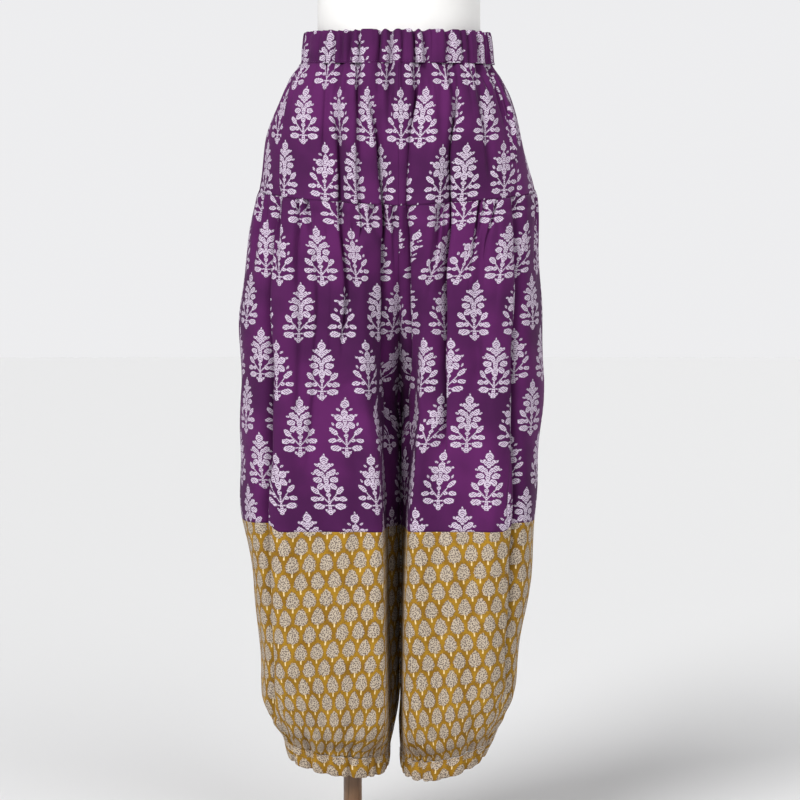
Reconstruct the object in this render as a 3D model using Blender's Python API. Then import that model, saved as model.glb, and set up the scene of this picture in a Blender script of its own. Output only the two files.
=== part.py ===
"""Balloon trousers standing on a limbless dress form, in metres with +Z up.

The front faces -Y and the wearer's right leg lies at -X. Every piece of cloth is a wall cut
from level curves. A level curve is a round outline of one leg that starts at the back rise or
inseam, passes the outer side and ends at the front rise or inseam. Distances across a leg are
measured outward from the centre plane, so both legs share one rule.
"""

import math
from typing import NamedTuple

import bmesh
import bpy
import numpy as np

# Heights of the seams at the side of the garment
WAIST_TOP = 1.060
WAIST_SEAM = 1.024
YOKE_SEAM = 0.857
CROTCH = 0.580
LOWER_SEAM = 0.424
CUFF_SEAM = 0.144
HEM = 0.117

# The rise seam reaches the full depth of the body this far above the crotch
RISE_HEIGHT = 0.26

# Cloth walls and the gap kept at every seam
SEAM_GAP = 0.0003
CLOTH_WALL = 0.0016
BAND_WALL = 0.0028
CUFF_WALL = 0.0024
POCKET_WALL = 0.0012
POCKET_LIFT = 0.0013

# Columns of points across the front and the back panel of one leg
FRONT_COLUMNS = 28
BACK_COLUMNS = 36
POCKET_COLUMNS = 2
CURVE_SAMPLES = 720

# Rows of points down each tier, with one row at the crotch
BAND_ROWS = (WAIST_TOP, 1.042, WAIST_SEAM)
YOKE_ROWS = (WAIST_SEAM, 1.006, 0.980, 0.940, 0.900, YOKE_SEAM)
LEG_ROWS = (YOKE_SEAM, 0.838, 0.800, 0.742, 0.690, 0.645, 0.612, 0.590, CROTCH, 0.500, LOWER_SEAM)
LOWER_ROWS = (LOWER_SEAM, 0.360, 0.300, 0.240, 0.196, 0.168, CUFF_SEAM)
CUFF_ROWS = (CUFF_SEAM, HEM)
POCKET_ROWS = (1.006, 0.980, 0.940, 0.900)

# Below this height the columns crowd towards the rise seam, so that the rest hang straight
CROWD_TOP = 0.820
CROWD_FADE = 0.120
CROWD_SHARE = 0.6
MOST_CROWDED = 6.0

# Folds fade in and out over this height, die away this near a rise seam or an inseam, and
# reach their full depth where the cloth faces at least this much to the front or back
FOLD_FADE = 0.08
SEAM_CALM = 0.014
FULL_FACING = 0.6

# The dress form and its stand
FORM_RING_POINTS = 32
FORM_SQUARENESS = 2.2
NECK_CAP_RADIUS = 0.049
NECK_CAP_HEIGHT = 0.012
POLE_RADIUS = 0.012
POLE_X = -0.0605
POLE_SIDES = 24
PLATE_RADIUS = 0.036
PLATE_HEIGHT = 0.008
BASE_RADIUS = 0.190
BASE_HEIGHT = 0.018
BASE_SIDES = 48
BASE_BEVEL = 0.004


class Level(NamedTuple):
    """Sizes of the garment's outline at one height; right and left are the wearer's."""

    height: float
    right_reach: float
    left_reach: float
    right_seam: float
    left_seam: float
    right_inner: float
    left_inner: float
    front: float
    back: float
    squareness: float
    tilt: float


LEVELS = (
    Level(1.060, 0.1190, 0.1150, 0.1150, 0.1110, 0.000, 0.000, 0.0965, 0.0975, 2.20, 0.066),
    Level(1.024, 0.1220, 0.1185, 0.1180, 0.1145, 0.000, 0.000, 0.0992, 0.1000, 2.20, 0.075),
    Level(1.002, 0.1370, 0.1310, 0.1290, 0.1250, 0.000, 0.000, 0.1070, 0.1085, 2.25, 0.085),
    Level(0.976, 0.1510, 0.1430, 0.1400, 0.1350, 0.000, 0.000, 0.1140, 0.1170, 2.30, 0.095),
    Level(0.924, 0.1715, 0.1570, 0.1490, 0.1460, 0.000, 0.000, 0.1225, 0.1290, 2.35, 0.110),
    Level(0.872, 0.1810, 0.1710, 0.1520, 0.1490, 0.000, 0.000, 0.1285, 0.1370, 2.40, 0.127),
    Level(0.846, 0.1850, 0.1755, 0.1520, 0.1470, 0.000, 0.000, 0.1305, 0.1395, 2.45, 0.130),
    Level(0.794, 0.1940, 0.1810, 0.1530, 0.1410, 0.000, 0.000, 0.1300, 0.1400, 2.50, 0.120),
    Level(0.742, 0.2000, 0.1835, 0.1540, 0.1370, 0.000, 0.000, 0.1280, 0.1370, 2.55, 0.100),
    Level(0.690, 0.2045, 0.1850, 0.1550, 0.1340, 0.000, 0.000, 0.1250, 0.1330, 2.60, 0.080),
    Level(0.586, 0.2070, 0.1850, 0.1550, 0.1310, 0.000, 0.000, 0.1190, 0.1250, 2.70, 0.030),
    Level(0.456, 0.2025, 0.1795, 0.1550, 0.1300, 0.001, 0.001, 0.1130, 0.1170, 2.80, 0.000),
    Level(0.352, 0.1910, 0.1690, 0.1540, 0.1300, 0.001, 0.001, 0.1090, 0.1110, 2.80, 0.000),
    Level(0.248, 0.1800, 0.1560, 0.1510, 0.1280, 0.002, 0.001, 0.0980, 0.0990, 2.70, 0.010),
    Level(0.196, 0.1710, 0.1460, 0.1465, 0.1240, 0.004, 0.001, 0.0850, 0.0850, 2.60, 0.020),
    Level(0.170, 0.1590, 0.1360, 0.1400, 0.1160, 0.008, 0.002, 0.0730, 0.0730, 2.45, 0.035),
    Level(0.144, 0.1440, 0.1190, 0.1320, 0.1070, 0.014, 0.004, 0.0560, 0.0580, 2.20, 0.050),
    Level(0.117, 0.1410, 0.1130, 0.1290, 0.1020, 0.016, 0.005, 0.0520, 0.0540, 2.20, 0.050),
)


class Fold(NamedTuple):
    """One long fold: a valley where the depth is positive and a ridge where it is negative."""

    leg: str
    face: str
    top: float
    bottom: float
    across_top: float
    across_bottom: float
    depth: float
    width: float


FOLDS = (
    Fold("right", "front", 0.880, 0.150, 0.154, 0.161, 0.0200, 0.012),
    Fold("right", "front", 0.860, 0.170, 0.138, 0.143, -0.0060, 0.013),
    Fold("right", "front", 0.860, 0.480, 0.101, 0.110, 0.0060, 0.011),
    Fold("right", "front", 0.990, 0.640, 0.082, 0.070, 0.0080, 0.011),
    Fold("right", "front", 1.000, 0.200, 0.062, 0.022, -0.0070, 0.012),
    Fold("right", "front", 1.000, 0.520, 0.038, 0.020, 0.0150, 0.011),
    Fold("left", "front", 1.000, 0.520, 0.026, 0.018, 0.0170, 0.010),
    Fold("left", "front", 1.000, 0.200, 0.042, 0.016, -0.0060, 0.012),
    Fold("left", "front", 0.990, 0.500, 0.078, 0.058, 0.0110, 0.012),
    Fold("left", "front", 0.860, 0.170, 0.122, 0.112, -0.0060, 0.012),
    Fold("left", "front", 0.880, 0.150, 0.143, 0.137, 0.0160, 0.011),
    Fold("right", "back", 0.990, 0.420, 0.120, 0.140, 0.0100, 0.014),
    Fold("right", "back", 0.990, 0.240, 0.074, 0.082, 0.0120, 0.015),
    Fold("right", "back", 0.980, 0.640, 0.030, 0.030, 0.0090, 0.013),
    Fold("left", "back", 0.990, 0.480, 0.112, 0.128, 0.0110, 0.014),
    Fold("left", "back", 0.990, 0.260, 0.066, 0.070, 0.0120, 0.015),
    Fold("left", "back", 0.980, 0.620, 0.028, 0.028, 0.0090, 0.013),
)


class Gather(NamedTuple):
    """Small waves that start at a gathered seam and die away over the cloth beside it."""

    seam: float
    above: float
    below: float
    front_waves: int
    back_waves: int
    height: float


WAIST_GATHER = Gather(WAIST_SEAM, 0.300, 0.034, 7, 9, 0.0042)
YOKE_GATHER = Gather(YOKE_SEAM, 0.0, 0.075, 5, 7, 0.0030)
CUFF_GATHER = Gather(CUFF_SEAM, 0.040, 0.300, 6, 8, 0.0034)


class FormRing(NamedTuple):
    """One outline of the dress form: its height and half sizes."""

    height: float
    half_width: float
    half_depth: float


FORM_RINGS = (
    FormRing(0.790, 0.1180, 0.076),
    FormRing(0.794, 0.1360, 0.090),
    FormRing(0.804, 0.1480, 0.099),
    FormRing(0.824, 0.1530, 0.103),
    FormRing(0.860, 0.1530, 0.104),
    FormRing(0.920, 0.1410, 0.099),
    FormRing(0.970, 0.1250, 0.093),
    FormRing(1.005, 0.1130, 0.0922),
    FormRing(1.024, 0.1090, 0.0914),
    FormRing(1.045, 0.1062, 0.0892),
    FormRing(1.060, 0.1052, 0.0870),
    FormRing(1.100, 0.1052, 0.0860),
    FormRing(1.150, 0.1130, 0.0890),
    FormRing(1.220, 0.1330, 0.1000),
    FormRing(1.290, 0.1520, 0.1100),
    FormRing(1.350, 0.1640, 0.1080),
    FormRing(1.400, 0.1740, 0.0930),
    FormRing(1.432, 0.1700, 0.0800),
    FormRing(1.452, 0.1420, 0.0720),
    FormRing(1.468, 0.1020, 0.0660),
    FormRing(1.484, 0.0700, 0.0600),
    FormRing(1.510, 0.0560, 0.0540),
    FormRing(1.560, 0.0520, 0.0510),
)


class Finish(NamedTuple):
    """Colour, roughness and metallic value of one material."""

    name: str
    colour: tuple
    roughness: float
    metallic: float


PURPLE_COTTON = Finish("purple_cotton", (0.155, 0.026, 0.150), 0.80, 0.0)
OCHRE_COTTON = Finish("ochre_cotton", (0.480, 0.250, 0.035), 0.82, 0.0)
FORM_COVER = Finish("form_cover", (0.86, 0.86, 0.85), 0.55, 0.0)
STAND_WOOD = Finish("stand_wood", (0.200, 0.125, 0.075), 0.45, 0.0)


class LegCurve(NamedTuple):
    """A leg's outline at one level, sampled along its length from the side seam."""

    along: np.ndarray
    points: np.ndarray
    normals: np.ndarray
    front_length: float
    back_length: float
    front_whole: float
    back_whole: float


def monotone(heights, values, height):
    """Return the smooth value at a height, with no overshoot between the table's rows."""
    heights = np.asarray(heights, float)
    values = np.asarray(values, float)
    steps = np.diff(heights)
    slopes = np.diff(values) / steps
    tangents = np.zeros_like(values)
    tangents[0] = slopes[0]
    tangents[-1] = slopes[-1]
    same_way = slopes[:-1] * slopes[1:] > 0
    safe = np.where(same_way, slopes[:-1] + slopes[1:], 1.0)
    tangents[1:-1] = np.where(same_way, 2 * slopes[:-1] * slopes[1:] / safe, 0.0)
    row = int(np.clip(np.searchsorted(heights, height) - 1, 0, len(steps) - 1))
    part = (height - heights[row]) / steps[row]
    part_2 = part * part
    part_3 = part_2 * part
    return (
        (2 * part_3 - 3 * part_2 + 1) * values[row]
        + (part_3 - 2 * part_2 + part) * steps[row] * tangents[row]
        + (3 * part_2 - 2 * part_3) * values[row + 1]
        + (part_3 - part_2) * steps[row] * tangents[row + 1]
    )


def level_at(height):
    """Return the garment's sizes at any height between the hem and the waist."""
    rising = LEVELS[::-1]
    heights = [row.height for row in rising]
    columns = zip(*rising)
    return Level(*(monotone(heights, column, height) for column in columns))


def ease(share):
    """Return a smooth step from 0 to 1."""
    share = np.clip(share, 0.0, 1.0)
    return share * share * (3 - 2 * share)


def superellipse(angles, half_width, front, back, squareness):
    """Return points of a rounded outline; a positive angle lies on the front, towards -Y."""
    depth = np.where(angles > 0, front, back)
    wide = np.abs(np.cos(angles) / half_width) ** squareness
    deep = np.abs(np.sin(angles) / depth) ** squareness
    radius = (wide + deep) ** (-1 / squareness)
    return np.stack([radius * np.cos(angles), -radius * np.sin(angles)], axis=1)


def outline_length(points):
    """Return the length of a row of points."""
    return float(np.linalg.norm(np.diff(points, axis=0), axis=1).sum())


def outward_normals(points):
    """Return the unit normals of an outline that runs from the back round to the front."""
    tangents = np.gradient(points, axis=0)
    normals = np.stack([-tangents[:, 1], tangents[:, 0]], axis=1)
    return normals / np.linalg.norm(normals, axis=1, keepdims=True)


def gather_strength(gather, height):
    """Return how strong a gather's waves are at a height."""
    from_seam = height - gather.seam
    if from_seam > 0:
        reach = gather.above
    else:
        reach = gather.below
    if reach == 0.0:
        return 0.0
    return gather.height * math.exp(-((from_seam / reach) ** 2))


def gather_waves(gather, along, front_length, back_length, height):
    """Return the outward waves of a gathered seam, a whole number to each panel."""
    strength = gather_strength(gather, height)
    front_turns = gather.front_waves * along / front_length
    back_turns = gather.back_waves * along / back_length
    turns = np.where(along > 0, front_turns, back_turns)
    return strength * np.cos(2 * math.pi * turns)


def fold_depth(fold, height):
    """Return how deep a fold is at a height."""
    into_top = ease((fold.top - height) / FOLD_FADE)
    into_bottom = ease((height - fold.bottom) / FOLD_FADE)
    return fold.depth * into_top * into_bottom


def leg_curve(leg, height, gathers):
    """Work out one leg's outline at a level, with its folds and gathers.

    Above the crotch the outline reaches past the centre plane, where it is cut off, and the
    cut end is the rise seam. Below the crotch the outline is whole and ends at the inseam.
    """
    level = level_at(height)
    reach = getattr(level, f"{leg}_reach")
    seam = getattr(level, f"{leg}_seam")
    above = height - CROTCH
    if above > 0:
        depth_share = min(1.0, math.sqrt(above / RISE_HEIGHT))
        flat_share = (1 - depth_share**level.squareness) ** (1 / level.squareness)
        inner = -reach * (1 - flat_share) / (1 + flat_share)
    else:
        inner = getattr(level, f"{leg}_inner")
    centre = (reach + inner) / 2
    sizes = ((reach - inner) / 2, level.front, level.back, level.squareness)
    half_turn = np.linspace(0, math.pi, CURVE_SAMPLES)
    front_half = superellipse(half_turn, *sizes)
    back_half = superellipse(-half_turn, *sizes)
    front_cut = float(np.interp(-centre, front_half[::-1, 0], half_turn[::-1]))
    back_cut = float(np.interp(-centre, back_half[::-1, 0], half_turn[::-1]))
    back_angles = np.linspace(-back_cut, 0, CURVE_SAMPLES + 1)
    angles = np.concatenate([back_angles, np.linspace(0, front_cut, CURVE_SAMPLES + 1)[1:]])
    points = superellipse(angles, *sizes)
    points[:, 0] += centre + SEAM_GAP / 2
    steps = np.linalg.norm(np.diff(points, axis=0), axis=1)
    along = np.concatenate([[0.0], np.cumsum(steps)])
    front = angles >= 0
    falling = slice(None, None, -1)
    to_seam = np.interp(seam, points[front, 0][falling], along[front][falling])
    seam_from_side = to_seam - np.interp(0.0, angles, along)
    along -= to_seam
    front_length = float(along[-1])
    back_length = float(-along[0])
    front_whole = max(outline_length(front_half) - seam_from_side, front_length)
    back_whole = max(outline_length(back_half) + seam_from_side, back_length)
    calm = 1 - np.exp(-(((front_length - along) / SEAM_CALM) ** 2))
    calm *= 1 - np.exp(-(((along + back_length) / SEAM_CALM) ** 2))
    normals = outward_normals(points)
    facing = ease(np.abs(normals[:, 1]) / FULL_FACING)
    inward = np.zeros_like(along)
    for fold in FOLDS:
        if fold.leg != leg:
            continue
        share = (fold.top - height) / (fold.top - fold.bottom)
        across = fold.across_top + share * (fold.across_bottom - fold.across_top)
        if fold.face == "front":
            place = np.interp(across, points[front, 0][falling], along[front][falling])
        else:
            place = np.interp(across, points[~front, 0], along[~front])
        shape = np.exp(-(((along - place) / fold.width) ** 2))
        inward += calm * facing * fold_depth(fold, height) * shape
    for gather in gathers:
        inward -= gather_waves(gather, along, front_length, back_length, height)
    points = points - inward[:, None] * normals
    points[:, 0] = np.maximum(points[:, 0], SEAM_GAP / 2)
    normals = outward_normals(points)
    return LegCurve(
        along, points, normals, front_length, back_length, front_whole, back_whole
    )


def panel_places(curve, face, columns, height):
    """Return the distances along the outline of a panel's columns, seam gaps left out.

    Near the crotch the rise seam cuts a part off the whole outline. The columns beside the
    seam take up that loss, as a high power of each column's share, and the others stay.
    """
    share = np.linspace(0, 1, columns + 1)
    kept = curve.front_length if face == "front" else curve.back_length
    whole = curve.front_whole if face == "front" else curve.back_whole
    lost = max(whole - kept, SEAM_GAP)
    power = min(1 + CROWD_SHARE * (whole / lost - 1), MOST_CROWDED)
    crowded = (share * (kept + lost) - lost * share**power) / kept
    mix = ease((CROWD_TOP - height) / CROWD_FADE)
    places = mix * crowded + (1 - mix) * share
    places = SEAM_GAP / 2 + places * (kept - SEAM_GAP)
    return places if face == "front" else -places


def sample(curve, places, leg, height, moved_out):
    """Return points in the garment's space, moved out of the outline or, if negative, in."""
    across = np.interp(places, curve.along, curve.points[:, 0])
    depth = np.interp(places, curve.along, curve.points[:, 1])
    normal_across = np.interp(places, curve.along, curve.normals[:, 0])
    normal_depth = np.interp(places, curve.along, curve.normals[:, 1])
    across = np.maximum(across + moved_out * normal_across, SEAM_GAP / 2)
    depth = depth + moved_out * normal_depth
    side = -1.0 if leg == "right" else 1.0
    level_tilt = level_at(height).tilt
    return np.stack([side * across, depth, height + level_tilt * depth], axis=1)


def trimmed_rows(rows):
    """Return a tier's levels with half a seam gap taken off at its top and bottom."""
    return (rows[0] - SEAM_GAP / 2, *rows[1:-1], rows[-1] + SEAM_GAP / 2)


def panel_loops(leg, face, rows, gathers, columns, wall, lift=0.0, used_columns=None):
    """Return one closed loop of points for each row: out along the face and back inside."""
    loops = []
    for height in trimmed_rows(rows):
        curve = leg_curve(leg, height, gathers)
        places = panel_places(curve, face, columns, height)
        if used_columns is not None:
            places = places[: used_columns + 1]
        outer = sample(curve, places, leg, height, lift + (wall if lift else 0.0))
        inner = sample(curve, places, leg, height, lift if lift else -wall)
        loops.append(np.concatenate([outer, inner[::-1]]))
    return loops


def ring_rows(legs, rows, gathers, wall):
    """Return an outer and an inner ring for each row, all the way round one leg or both."""
    outer_rings = []
    inner_rings = []
    for height in trimmed_rows(rows):
        outer = []
        inner = []
        for leg, faces in legs:
            curve = leg_curve(leg, height, gathers)
            for face, backwards in faces:
                columns = FRONT_COLUMNS if face == "front" else BACK_COLUMNS
                limits = (0.0, curve.front_length)
                if face == "back":
                    limits = (0.0, -curve.back_length)
                places = np.linspace(*limits, columns + 1)
                if backwards:
                    places = places[::-1]
                outer.append(sample(curve, places[:-1], leg, height, 0.0))
                inner.append(sample(curve, places[:-1], leg, height, -wall))
        outer_rings.append(np.concatenate(outer))
        inner_rings.append(np.concatenate(inner))
    return outer_rings, inner_rings


def new_material(finish):
    """Make a Principled material of its own from a finish."""
    material = bpy.data.materials.new(finish.name)
    material.use_nodes = True
    shader = material.node_tree.nodes["Principled BSDF"]
    shader.inputs["Base Color"].default_value = (*finish.colour, 1.0)
    shader.inputs["Roughness"].default_value = finish.roughness
    shader.inputs["Metallic"].default_value = finish.metallic
    material.diffuse_color = (*finish.colour, 1.0)
    return material


def finish_object(name, mesh_builder, finish, location=(0.0, 0.0, 0.0)):
    """Turn a bmesh into a named object with outward faces and its own material."""
    bmesh.ops.recalc_face_normals(mesh_builder, faces=mesh_builder.faces)
    mesh = bpy.data.meshes.new(name)
    mesh_builder.to_mesh(mesh)
    mesh_builder.free()
    mesh.shade_smooth()
    mesh.set_sharp_from_angle(angle=math.radians(40))
    mesh.materials.append(new_material(finish))
    thing = bpy.data.objects.new(name, mesh)
    thing.location = location
    bpy.context.collection.objects.link(thing)
    return thing


def add_loop(mesh_builder, points):
    """Add a row of points and return its vertices."""
    return [mesh_builder.verts.new(point) for point in points]


def join_loops(mesh_builder, first, second):
    """Bridge two closed loops of equal length with quads."""
    count = len(first)
    for index in range(count):
        following = (index + 1) % count
        corners = (first[index], first[following], second[following], second[index])
        mesh_builder.faces.new(corners)


def close_panel_end(mesh_builder, loop):
    """Close a panel's top or bottom with quads between its outer and inner points."""
    count = len(loop)
    for index in range(count // 2 - 1):
        mesh_builder.faces.new(
            (loop[index], loop[index + 1], loop[count - 2 - index], loop[count - 1 - index])
        )


def build_panel(name, loops, finish):
    """Build a curved wall from its rows of closed loops."""
    mesh_builder = bmesh.new()
    rows = [add_loop(mesh_builder, points) for points in loops]
    for upper, lower in zip(rows, rows[1:]):
        join_loops(mesh_builder, upper, lower)
    close_panel_end(mesh_builder, rows[0])
    close_panel_end(mesh_builder, rows[-1])
    return finish_object(name, mesh_builder, finish)


def build_ring(name, outer_rings, inner_rings, finish):
    """Build a band or cuff from its outer and inner rings."""
    mesh_builder = bmesh.new()
    outer = [add_loop(mesh_builder, points) for points in outer_rings]
    inner = [add_loop(mesh_builder, points) for points in inner_rings]
    around = outer + inner[::-1]
    for index, loop in enumerate(around):
        join_loops(mesh_builder, loop, around[(index + 1) % len(around)])
    return finish_object(name, mesh_builder, finish)


def build_trousers():
    """Build the waistband, the yoke, the gathered legs, the lower panels and the cuffs."""
    whole_waist = (
        ("right", (("front", False),)),
        ("left", (("front", True), ("back", False))),
        ("right", (("back", True),)),
    )
    waist = (WAIST_GATHER,)
    build_ring("waistband", *ring_rows(whole_waist, BAND_ROWS, waist, BAND_WALL), PURPLE_COTTON)
    tiers = (
        ("yoke", YOKE_ROWS, waist, PURPLE_COTTON),
        ("leg", LEG_ROWS, (YOKE_GATHER,), PURPLE_COTTON),
        ("lower", LOWER_ROWS, (CUFF_GATHER,), OCHRE_COTTON),
    )
    for leg in ("right", "left"):
        for tier, rows, gathers, finish in tiers:
            for face, columns in (("front", FRONT_COLUMNS), ("back", BACK_COLUMNS)):
                loops = panel_loops(leg, face, rows, gathers, columns, CLOTH_WALL)
                build_panel(f"{tier}_{face}_{leg}", loops, finish)
        round_leg = ((leg, (("front", False), ("back", True))),)
        cuff = ring_rows(round_leg, CUFF_ROWS, (CUFF_GATHER,), CUFF_WALL)
        build_ring(f"cuff_{leg}", *cuff, OCHRE_COTTON)
    pocket = panel_loops(
        "left", "front", POCKET_ROWS, waist, FRONT_COLUMNS, POCKET_WALL, POCKET_LIFT, POCKET_COLUMNS
    )
    build_panel("pocket_edge_left", pocket, PURPLE_COTTON)


def build_form():
    """Build the smooth torso that the waistband rests on, and the cap in its neck."""
    mesh_builder = bmesh.new()
    angles = np.linspace(-math.pi, math.pi, FORM_RING_POINTS, endpoint=False)
    rings = []
    for ring in FORM_RINGS:
        outline = superellipse(
            angles, ring.half_width, ring.half_depth, ring.half_depth, FORM_SQUARENESS
        )
        heights = np.full((FORM_RING_POINTS, 1), ring.height)
        rings.append(add_loop(mesh_builder, np.hstack([outline, heights])))
    for lower, upper in zip(rings, rings[1:]):
        join_loops(mesh_builder, lower, upper)
    mesh_builder.faces.new(rings[0])
    mesh_builder.faces.new(rings[-1])
    finish_object("form_torso", mesh_builder, FORM_COVER)
    cap_floor = FORM_RINGS[-1].height + SEAM_GAP
    build_cylinder("form_neck_cap", (0.0, 0.0, cap_floor), NECK_CAP_RADIUS, NECK_CAP_HEIGHT)


def build_cylinder(name, foot, radius, height, sides=POLE_SIDES, bevel=0.0):
    """Build a round solid that stands on its foot point, with its top edge bevelled."""
    mesh_builder = bmesh.new()
    bmesh.ops.create_cone(
        mesh_builder, cap_ends=True, segments=sides, radius1=radius, radius2=radius, depth=height
    )
    bmesh.ops.translate(mesh_builder, verts=mesh_builder.verts, vec=(0, 0, height / 2))
    if bevel:
        rim = [
            edge
            for edge in mesh_builder.edges
            if all(abs(vertex.co.z - height) < SEAM_GAP for vertex in edge.verts)
        ]
        bmesh.ops.bevel(mesh_builder, geom=rim, offset=bevel, segments=2, affect="EDGES")
    return finish_object(name, mesh_builder, STAND_WOOD, foot)


def build_stand():
    """Build the base, and the pole up one trouser leg between its flange and the form's plate."""
    build_cylinder("base", (0, 0, 0), BASE_RADIUS, BASE_HEIGHT, BASE_SIDES, BASE_BEVEL)
    flange_floor = BASE_HEIGHT + SEAM_GAP
    build_cylinder("pole_flange", (POLE_X, 0, flange_floor), PLATE_RADIUS, PLATE_HEIGHT)
    plate_floor = FORM_RINGS[0].height - SEAM_GAP - PLATE_HEIGHT
    build_cylinder("form_plate", (POLE_X, 0, plate_floor), PLATE_RADIUS, PLATE_HEIGHT)
    pole_foot = flange_floor + PLATE_HEIGHT + SEAM_GAP
    pole_length = plate_floor - SEAM_GAP - pole_foot
    build_cylinder("pole", (POLE_X, 0, pole_foot), POLE_RADIUS, pole_length)


def main():
    for thing in list(bpy.data.objects):
        bpy.data.objects.remove(thing, do_unlink=True)
    build_trousers()
    build_form()
    build_stand()


if __name__ == "__main__":
    main()
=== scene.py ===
"""Balloon trousers on a limbless dress form, dressed for rendering.

Every cloth piece is a fine shell on the level curves that the solids follow. A level curve is
the outline of one leg at one height, from the back rise or inseam round the outer side to the
front rise or inseam. Metres, +Z up, the front towards -Y, the wearer's right leg at -X.
"""

from __future__ import annotations

import logging
import math
from dataclasses import dataclass, field
from enum import Enum
from typing import NamedTuple, Sequence

import bmesh
import bpy
import numpy as np
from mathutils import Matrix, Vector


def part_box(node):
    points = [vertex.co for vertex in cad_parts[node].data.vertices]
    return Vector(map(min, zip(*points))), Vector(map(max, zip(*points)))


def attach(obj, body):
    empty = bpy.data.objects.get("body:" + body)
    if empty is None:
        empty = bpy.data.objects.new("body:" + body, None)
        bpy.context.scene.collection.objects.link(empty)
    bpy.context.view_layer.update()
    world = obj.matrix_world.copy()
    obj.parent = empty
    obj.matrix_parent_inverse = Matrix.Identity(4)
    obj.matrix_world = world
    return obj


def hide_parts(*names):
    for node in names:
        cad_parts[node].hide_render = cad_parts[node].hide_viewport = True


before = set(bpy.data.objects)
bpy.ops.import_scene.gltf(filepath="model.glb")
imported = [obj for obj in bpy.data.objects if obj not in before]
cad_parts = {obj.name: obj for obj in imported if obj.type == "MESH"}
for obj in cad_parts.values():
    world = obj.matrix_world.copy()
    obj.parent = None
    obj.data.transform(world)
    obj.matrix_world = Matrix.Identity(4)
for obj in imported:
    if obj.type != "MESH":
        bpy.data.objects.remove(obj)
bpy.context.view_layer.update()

log = logging.getLogger("trousers")

WAIST_TOP = 1.060
WAIST_SEAM = 1.020
YOKE_SEAM = 0.857
CROTCH = 0.580
LOWER_SEAM = 0.424
CUFF_SEAM = 0.144
HEM = 0.117
RISE_HEIGHT = 0.26
STITCH_FROM_SEAM = 0.0022
BODY = "root"


class Side(Enum):
    """The wearer's side of a piece."""

    RIGHT = "right"
    LEFT = "left"

    @property
    def sign(self) -> float:
        """Return the direction of X from the centre plane towards this side."""
        return -1.0 if self is Side.RIGHT else 1.0


class Face(Enum):
    """The front or the back of a leg."""

    FRONT = "front"
    BACK = "back"


class Held(Enum):
    """How a sheet of cloth is held."""

    GATHERED = "gathered"
    HUNG = "hung"
    STRETCHED = "stretched"


class Level(NamedTuple):
    """Sizes of the garment's outline at one height."""

    height: float
    right_reach: float
    left_reach: float
    right_seam: float
    left_seam: float
    right_inner: float
    left_inner: float
    front: float
    back: float
    squareness: float
    tilt: float


LEVELS = (
    Level(1.060, 0.1190, 0.1150, 0.1150, 0.1110, 0.000, 0.000, 0.0965, 0.0975, 2.20, 0.066),
    Level(1.024, 0.1220, 0.1185, 0.1180, 0.1145, 0.000, 0.000, 0.0992, 0.1000, 2.20, 0.075),
    Level(1.002, 0.1370, 0.1310, 0.1290, 0.1250, 0.000, 0.000, 0.1070, 0.1085, 2.25, 0.085),
    Level(0.976, 0.1510, 0.1430, 0.1400, 0.1350, 0.000, 0.000, 0.1140, 0.1170, 2.30, 0.095),
    Level(0.924, 0.1715, 0.1570, 0.1490, 0.1460, 0.000, 0.000, 0.1225, 0.1290, 2.35, 0.110),
    Level(0.872, 0.1810, 0.1710, 0.1520, 0.1490, 0.000, 0.000, 0.1285, 0.1370, 2.40, 0.127),
    Level(0.846, 0.1850, 0.1755, 0.1520, 0.1470, 0.000, 0.000, 0.1305, 0.1395, 2.45, 0.130),
    Level(0.794, 0.1940, 0.1810, 0.1530, 0.1410, 0.000, 0.000, 0.1300, 0.1400, 2.50, 0.120),
    Level(0.742, 0.2000, 0.1835, 0.1540, 0.1370, 0.000, 0.000, 0.1280, 0.1370, 2.55, 0.100),
    Level(0.690, 0.2045, 0.1850, 0.1550, 0.1340, 0.000, 0.000, 0.1250, 0.1330, 2.60, 0.080),
    Level(0.586, 0.2070, 0.1850, 0.1550, 0.1310, 0.000, 0.000, 0.1190, 0.1250, 2.70, 0.030),
    Level(0.456, 0.2025, 0.1795, 0.1550, 0.1300, 0.001, 0.001, 0.1130, 0.1170, 2.80, 0.000),
    Level(0.352, 0.1910, 0.1690, 0.1540, 0.1300, 0.001, 0.001, 0.1090, 0.1110, 2.80, 0.000),
    Level(0.248, 0.1800, 0.1560, 0.1510, 0.1280, 0.002, 0.001, 0.0980, 0.0990, 2.70, 0.010),
    Level(0.196, 0.1745, 0.1520, 0.1465, 0.1240, 0.004, 0.001, 0.0850, 0.0850, 2.60, 0.020),
    Level(0.170, 0.1665, 0.1435, 0.1400, 0.1160, 0.008, 0.002, 0.0730, 0.0730, 2.45, 0.035),
    Level(0.144, 0.1510, 0.1280, 0.1320, 0.1070, 0.014, 0.004, 0.0560, 0.0580, 2.20, 0.050),
    Level(0.117, 0.1440, 0.1150, 0.1290, 0.1020, 0.016, 0.005, 0.0520, 0.0540, 2.20, 0.050),
)


class Fold(NamedTuple):
    """One long fold: a valley where the depth is positive, a ridge where it is negative.

    A lap above 0 makes the fold's outer flank the steeper one, below 0 its inner flank, and
    that flank's edge is shoved over the valley.
    """

    side: Side
    face: Face
    top: float
    bottom: float
    across_top: float
    across_bottom: float
    depth: float
    width: float
    lap: float = 0.0


RIGHT, LEFT = Side.RIGHT, Side.LEFT
FRONT, BACK = Face.FRONT, Face.BACK

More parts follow.
